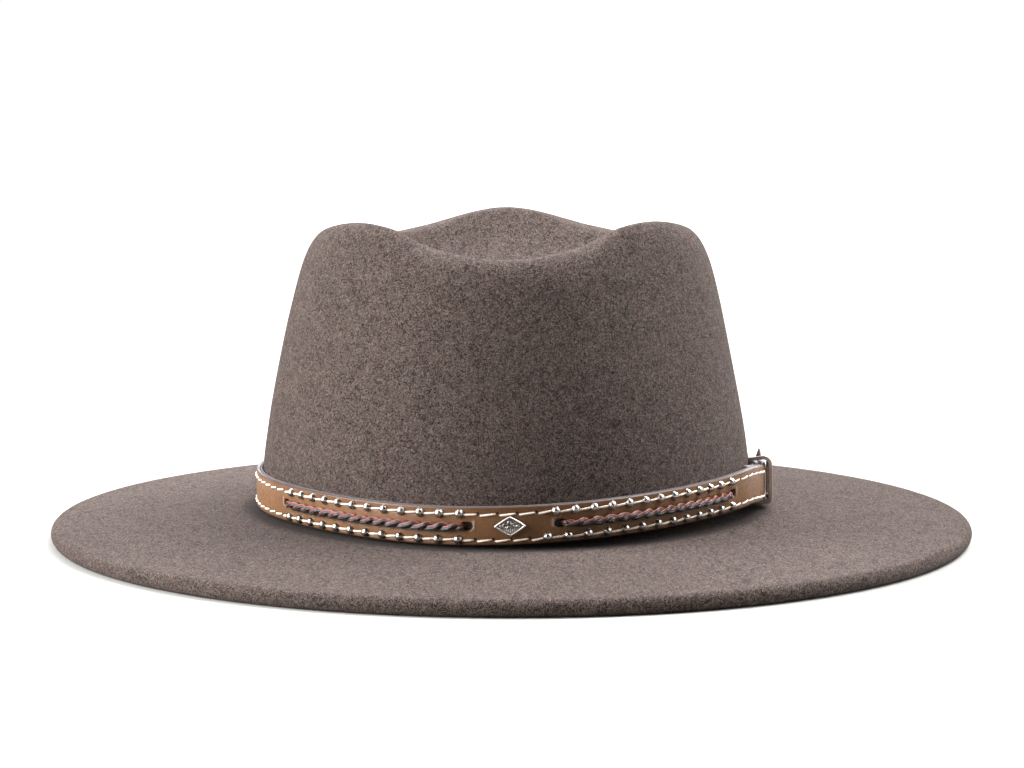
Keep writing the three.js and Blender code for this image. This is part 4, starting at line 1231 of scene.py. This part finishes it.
class FELTHAT_OT_concho(bpy.types.Operator):
    """Diamond plate at the front, with a polished rim, scrolls and a lined lower half"""
    bl_idname = "felt_hat.concho"
    bl_label = "Concho"

    def execute(self, context):
        settings = context.scene.felt_hat_band
        turn = np.linspace(0, FULL, CONCHO_SIDES, endpoint=False)
        across, upwards = np.cos(turn), np.sin(turn)
        reach = (np.abs(across) ** CONCHO_POWER + np.abs(upwards) ** CONCHO_POWER) ** (-1 / CONCHO_POWER)
        edge = np.stack([CONCHO_HALF_WIDTH * reach * across, CONCHO_HALF_HEIGHT * reach * upwards], axis=-1)
        share = np.linspace(0, 1, CONCHO_STEPS + 1)[1:, None]
        flat = share[..., None] * edge
        height, relief = self.relief(flat, share)
        side = CONCHO_SIDE[:, :, None]
        flat = np.concatenate([flat, side[:, :1] * edge])
        height = np.concatenate([height, np.broadcast_to(side[:, 1], (len(side), CONCHO_SIDES))])
        relief = np.concatenate([relief, np.full((len(side), CONCHO_SIDES), CONCHO_SIDE_RELIEF)])
        place, level = np.array([CONCHO_PLACE]), np.array([STRAP_HEIGHT / 2])
        along, up, out = strap_axes(place, level)
        centre = strap_face(place, level, 0.0)
        rings = (centre + along * flat[..., :1] + up * flat[..., 1:]
                 + out * (height[..., None] + CONCHO_SUNK))
        middle, middle_relief = self.relief(np.zeros((1, 1, 2)), np.zeros((1, 1)))
        shape = tubes(rings[None], centre + out * (middle + CONCHO_SUNK), centre + out * CONCHO_SUNK)
        relief = np.concatenate([relief.reshape(-1), middle_relief[0], [CONCHO_SIDE_RELIEF]])
        piece = make_piece("concho_plate", "silver_metal", *shape, shares={"relief": relief})
        piece.data.materials.append(metal_material("concho_silver", settings.silver, 0.28, relief=True))
        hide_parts("concho")
        return {"FINISHED"}

    def relief(self, flat, share):
        """Height of the plate's face: a base, a round rim along the edge, curled scrolls that
        rise as half circles of the distance to their lines, and fine ridges below."""
        x, y = flat[..., 0], flat[..., 1]
        away = (share - CONCHO_RIM_MIDDLE) / CONCHO_RIM_HALF_WIDTH
        rim = np.sqrt(np.clip(1 - away ** 2, 0, 1))
        scroll = 0 * x
        for middle_x, middle_y, first, last, start, end in SCROLLS:
            u = np.linspace(0, 1, SCROLL_POINTS)
            angle = np.radians(start + (end - start) * u)
            radius = first + (last - first) * u
            line = np.stack([middle_x + radius * np.cos(angle), middle_y + radius * np.sin(angle) * 0.9],
                            axis=-1)
            away = np.sqrt(((flat[..., None, :] - line) ** 2).sum(axis=-1))
            bead = (1 - (away / (SCROLL_HALF_WIDTH - SCROLL_THINNING * u)) ** 2).clip(0, 1).max(axis=-1)
            scroll = np.maximum(scroll, np.sqrt(bead))
        ridges = 0.5 + 0.5 * np.sin(x * 9.0 + 1.2 * np.sin(y * 2.0))
        ridges = ridges * smooth(-0.5, -1.2, y) * fading(RIDGE_FADE, share)
        scroll_inside = scroll * fading(SCROLL_FADE, share)
        height = (CONCHO_BASE + CONCHO_RIM_RISE * rim + SCROLL_RISE * scroll_inside
                  + RIDGE_RISE * ridges * (1 - scroll))
        return height, np.clip(rim + scroll_inside + 0.5 * ridges, 0, 1)


class FELTHAT_OT_clasp(bpy.types.Operator):
    """Silver buckle with its prong and its upright point, and the leather keeper behind it"""
    bl_idname = "felt_hat.clasp"
    bl_label = "Buckle and keeper"

    def execute(self, context):
        settings = context.scene.felt_hat_band
        self.buckle(settings)
        self.keeper(settings)
        return {"FINISHED"}

    def sleeve_path(self, near, out, high, corner, slope, steps):
        """Closed path round the strap in off and level: over the top, which falls by a slope
        towards the crown, down the outside with round corners, back under and up the back."""
        low = -GAP - BUCKLE_LOWER_BAR / 2
        turn = np.linspace(0, np.pi / 2, CLASP_CORNER_STEPS + 1)
        across = np.linspace(near, out - corner, steps)
        over = np.stack([across, high - slope * (1 - (across - near) / (out - corner - near))], axis=-1)
        first = np.stack([out - corner + corner * np.sin(turn),
                          high - corner + corner * np.cos(turn)], axis=-1)
        down = np.stack([np.full(steps, out), np.linspace(high - corner, low + corner / 2, steps)], axis=-1)
        second = np.stack([out - corner / 2 + corner / 2 * np.cos(turn),
                           low + corner / 2 - corner / 2 * np.sin(turn)], axis=-1)
        under = np.stack([np.linspace(out - corner / 2, near, steps), np.full(steps, low)], axis=-1)
        back = np.stack([np.full(steps, near), np.linspace(low, high - slope, steps)], axis=-1)
        return np.concatenate([over[:-1], first[:-1], down[:-1], second[:-1], under[:-1], back[:-1]])

    def frame_mesh(self):
        """Buckle frame: the closed path carried along the strap, to be given a wall. Its outer
        face is cut out between the bars."""
        path = self.sleeve_path(BUCKLE_NEAR + BUCKLE_BACK / 2, BUCKLE_OUT - BUCKLE_BAR / 2,
                                STRAP_HEIGHT + GAP + BUCKLE_RISE + BUCKLE_BAR / 2, BUCKLE_CORNER,
                                BUCKLE_SLOPE, BUCKLE_SIDE_POINTS)
        second_bar = BUCKLE_LENGTH - BUCKLE_BAR_WIDTH
        along = np.unique(np.concatenate([
            np.linspace(0, BUCKLE_BAR_WIDTH, BUCKLE_BAR_STEPS + 1),
            np.linspace(BUCKLE_BAR_WIDTH, second_bar, BUCKLE_WINDOW_STEPS + 1),
            np.linspace(second_bar, BUCKLE_LENGTH, BUCKLE_BAR_STEPS + 1)]))
        grid = self.sleeve(path, along)
        quads = ring_faces(len(along), len(path))
        centre = grid.reshape(-1, 3)[quads].mean(axis=1)
        window = BUCKLE_BAR_WIDTH / 2
        cut = ((centre[:, 0] > BUCKLE_OUT - BUCKLE_BAR - 0.2) & (centre[:, 1] > BUCKLE_BAR_WIDTH)
               & (centre[:, 1] < second_bar) & (centre[:, 2] > window)
               & (centre[:, 2] < STRAP_HEIGHT - window))
        grid[..., 0] -= self.taper(grid[..., 0], grid[..., 1])
        return grid, quads[~cut]

    def sleeve(self, path, along):
        """Grid of off, along and level: the path at each of the places along the strap."""
        return np.stack(np.broadcast_arrays(path[:, 0], along[:, None], path[:, 1]), axis=-1)

    def taper(self, off, along):
        """How far the frame's outer side closes in on the strap towards its far end: it grows
        with the place along the frame, and falls by a smooth step of the distance in."""
        return BUCKLE_TAPER * along / BUCKLE_LENGTH * fading(BUCKLE_TAPER_FADE, BUCKLE_OUT - off)

    def finish(self, piece, thickness, rounding, segments):
        """Gives a sleeve its wall and rounds its edges."""
        wall = piece.modifiers.new("Wall", "SOLIDIFY")
        wall.thickness = thickness * MM
        wall.offset = 0.0
        edges = piece.modifiers.new("Rounded edges", "BEVEL")
        edges.width = rounding * MM
        edges.segments = segments
        edges.limit_method = "ANGLE"
        return wall

    def buckle(self, settings):
        silver = metal_material("buckle_silver", settings.buckle, 0.45)
        # Painted shade: the frame's inner side gets a silver at an eighth of the buckle's brightness
        inside = metal_material("buckle_inside_painted_shade", shade(settings.buckle, 0.12)[:3], 0.5)
        self.buckle_frame(silver, inside)
        self.prong(silver)
        self.point(silver)

    def buckle_frame(self, silver, inside):
        """Frame with its wall, its inner side a much darker silver that paints the shade between the frame
        and the strap.
        """
        grid, quads = self.frame_mesh()
        piece = make_piece("buckle_frame", "silver_metal", clasp_point(grid, BUCKLE_ANGLE), quads[:, ::-1],
                           closed=False)
        wall = self.finish(piece, BUCKLE_WALL, BUCKLE_ROUNDING, 3)
        # The wall's inner shell takes the second material, the painted shade
        wall.material_offset = 1
        wall.use_even_offset = True
        piece.data.materials.append(silver)
        piece.data.materials.append(inside)
        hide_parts("buckle")

    def prong(self, silver):
        """Bar across the window: its half width falls at both ends by a high power."""
        off = np.full(PRONG_STEPS, BUCKLE_OUT - BUCKLE_BAR / 2)
        along = np.linspace(BUCKLE_PRONG_END, BUCKLE_LENGTH - BUCKLE_PRONG_END, PRONG_STEPS)
        level = np.full(PRONG_STEPS, STRAP_HEIGHT / 2)
        path = np.stack([off - self.taper(off, along), along, level], axis=-1)
        even = np.linspace(-1, 1, PRONG_STEPS)
        thick = BUCKLE_PRONG_HALF * np.sqrt(np.clip(1 - even ** 14, 0.05, 1))
        self.bar("buckle_prong", path, (0.0, 0.0, 1.0), thick * 0.62, thick, silver)

    def point(self, silver):
        """Upright point: its half width falls nearly evenly to a blunt tip."""
        share = np.linspace(0, 1, PRONG_STEPS)
        foot = STRAP_HEIGHT + GAP + BUCKLE_RISE + BUCKLE_BAR - BUCKLE_POINT_SUNK
        path = np.stack([np.full(PRONG_STEPS, BUCKLE_POINT_OFF), np.full(PRONG_STEPS, BUCKLE_POINT_PLACE),
                         foot + BUCKLE_POINT_LENGTH * share], axis=-1)
        blunt = np.sqrt(np.clip(1 - share ** 10, 0.02, 1))
        wide = BUCKLE_POINT_HALF * (0.2 + 0.8 * (1 - share) ** 1.1) * blunt
        self.bar("buckle_point", path, (0.0, 1.0, 0.0), wide, wide, silver)

    def bar(self, name, path, up, half_across, half_up, material):
        """Oval bar along a path in the clasp's own measures, bent round the crown."""
        across, up = (np.broadcast_to(np.array(axis), path.shape) for axis in ((1.0, 0.0, 0.0), up))
        rings = tube(path, across, up, half_across, half_up, PRONG_SIDES)
        points, quads, caps = tubes(rings[None], path[:1], path[-1:])
        piece = make_piece(name, "silver_metal", clasp_point(points, BUCKLE_ANGLE), quads, caps)
        piece.data.materials.append(material)
        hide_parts("buckle")

    def keeper(self, settings):
        """Leather loop: a closed rounded rectangle carried along the strap, with a wall."""
        path = self.sleeve_path(KEEPER_NEAR + KEEPER_BACK / 2, KEEPER_OUT - KEEPER_BAR / 2,
                                STRAP_HEIGHT + GAP + KEEPER_BAR / 2, KEEPER_CORNER, 0.0,
                                KEEPER_SIDE_POINTS)
        along = np.linspace(0, KEEPER_LENGTH, KEEPER_STEPS + 1)
        points = clasp_point(self.sleeve(path, along), KEEPER_ANGLE)
        edge = np.clip(fading(KEEPER_WEAR, along) + fading(KEEPER_WEAR, KEEPER_LENGTH - along), 0, 1)
        piece = make_piece("keeper", "strap_leather", points, ring_faces(len(along), len(path))[:, ::-1],
                           shares={"edge": np.repeat(edge, len(path))}, closed=False)
        self.finish(piece, KEEPER_WALL, KEEPER_ROUNDING, 2)
        piece.data.materials.append(
            leather_material("keeper_leather", settings.leather, settings.rubbed, False))
        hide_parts("keeper_loop")


class FELTHAT_OT_studio(bpy.types.Operator):
    """Pale floor, softboxes on both sides and behind, a dim room, and the camera"""
    bl_idname = "felt_hat.studio"
    bl_label = "Studio"

    def execute(self, context):
        settings = context.scene.felt_hat_studio
        scene = context.scene
        self.floor(settings)
        target = Vector(SOFTBOX_TARGET)
        for name, (around, rise, width, height, power) in SOFTBOXES.items():
            light = bpy.data.lights.new(name, "AREA")
            light.shape = "RECTANGLE"
            light.size, light.size_y = width, height
            light.energy = power * settings.light
            light.color = SOFTBOX_COLOUR
            lamp = bpy.data.objects.new(name, light)
            around, rise = np.radians(around), np.radians(rise)
            away = Vector((np.cos(rise) * np.sin(around), -np.cos(rise) * np.cos(around), np.sin(rise)))
            lamp.location = target + SOFTBOX_DISTANCE * away
            lamp.rotation_euler = (-away).to_track_quat("-Z", "Y").to_euler()
            lamp.visible_camera = False
            scene.collection.objects.link(lamp)
        self.room(scene, settings.room)
        camera = bpy.data.cameras.new("camera")
        camera.lens = settings.lens
        camera.sensor_width = SENSOR_WIDTH
        camera.clip_end = CAMERA_CLIP
        seat = bpy.data.objects.new("camera", camera)
        back = Vector((0.0, -np.cos(settings.elevation), np.sin(settings.elevation)))
        seat.location = Vector(CAMERA_AIM) + back * settings.distance
        seat.rotation_euler = (-back).to_track_quat("-Z", "Y").to_euler()
        scene.collection.objects.link(seat)
        scene.camera = seat
        scene.view_settings.view_transform = "Standard"
        return {"FINISHED"}

    def floor(self, settings):
        """Round floor: rings of points whose radius grows by a power of the ring's number."""
        turn = np.linspace(0, FULL, FLOOR_SIDES, endpoint=False)
        share = np.arange(1, FLOOR_STEPS + 1) / FLOOR_STEPS
        radius = FLOOR_RADIUS * share[:, None] ** FLOOR_GROWTH
        rings = np.stack([radius * np.sin(turn), -radius * np.cos(turn), 0 * radius * turn], axis=-1)
        points = np.concatenate([rings.reshape(-1, 3), np.zeros((1, 3))])
        middle = fan_faces(np.arange(FLOOR_SIDES), FLOOR_STEPS * FLOOR_SIDES)[:, ::-1]
        floor = make_piece("studio_floor", None, points, ring_faces(FLOOR_STEPS, FLOOR_SIDES), middle,
                           closed=False)
        floor.data.materials.append(floor_material(settings.floor))

    def room(self, scene, brightness):
        """Dim room, brighter overhead."""
        world = bpy.data.worlds.new("studio_room")
        world.use_nodes = True
        tree = world.node_tree
        tree.nodes.clear()
        direction = tree.nodes.new("ShaderNodeTexCoord").outputs["Generated"]
        split = tree.nodes.new("ShaderNodeSeparateXYZ")
        tree.links.new(direction, split.inputs[0])
        ramp = tree.nodes.new("ShaderNodeMapRange")
        ramp.interpolation_type = "SMOOTHSTEP"
        tree.links.new(split.outputs[2], ramp.inputs[0])
        for socket, number in zip(ramp.inputs[1:5], (0.1, 1.0, 0.1 * brightness, brightness)):
            socket.default_value = number
        background = tree.nodes.new("ShaderNodeBackground")
        background.inputs["Color"].default_value = (1.0, 0.995, 0.985, 1.0)
        tree.links.new(ramp.outputs[0], background.inputs["Strength"])
        output = tree.nodes.new("ShaderNodeOutputWorld")
        tree.links.new(background.outputs[0], output.inputs["Surface"])
        scene.world = world


SETTINGS = {"felt_hat_felt": FeltSettings, "felt_hat_band": BandSettings, "felt_hat_studio": StudioSettings}

PIECES = (FELTHAT_OT_felt, FELTHAT_OT_strap, FELTHAT_OT_stitching, FELTHAT_OT_studs, FELTHAT_OT_lacing,
          FELTHAT_OT_concho, FELTHAT_OT_clasp, FELTHAT_OT_studio)


class FELTHAT_PT_panel(bpy.types.Panel):
    bl_idname = "FELTHAT_PT_panel"
    bl_label = "Felt Hat"
    bl_space_type = "VIEW_3D"
    bl_region_type = "UI"
    bl_category = "Felt Hat"

    def draw(self, context):
        for name in SETTINGS:
            box = self.layout.box()
            settings = getattr(context.scene, name)
            for key in settings.bl_rna.properties.keys():
                if key not in ("rna_type", "name"):
                    box.prop(settings, key)
        for piece in PIECES:
            self.layout.operator(piece.bl_idname)


def register():
    for one in (*SETTINGS.values(), *PIECES, FELTHAT_PT_panel):
        bpy.utils.register_class(one)
    for name, group in SETTINGS.items():
        setattr(bpy.types.Scene, name, bpy.props.PointerProperty(type=group))


def unregister():
    for name in SETTINGS:
        delattr(bpy.types.Scene, name)
    for one in (FELTHAT_PT_panel, *PIECES[::-1], *SETTINGS.values()):
        bpy.utils.unregister_class(one)


def main():
    register()
    for operator in (bpy.ops.felt_hat.felt, bpy.ops.felt_hat.strap, bpy.ops.felt_hat.stitching,
                     bpy.ops.felt_hat.studs, bpy.ops.felt_hat.lacing, bpy.ops.felt_hat.concho,
                     bpy.ops.felt_hat.clasp, bpy.ops.felt_hat.studio):
        operator()


if __name__ == "__main__":
    main()
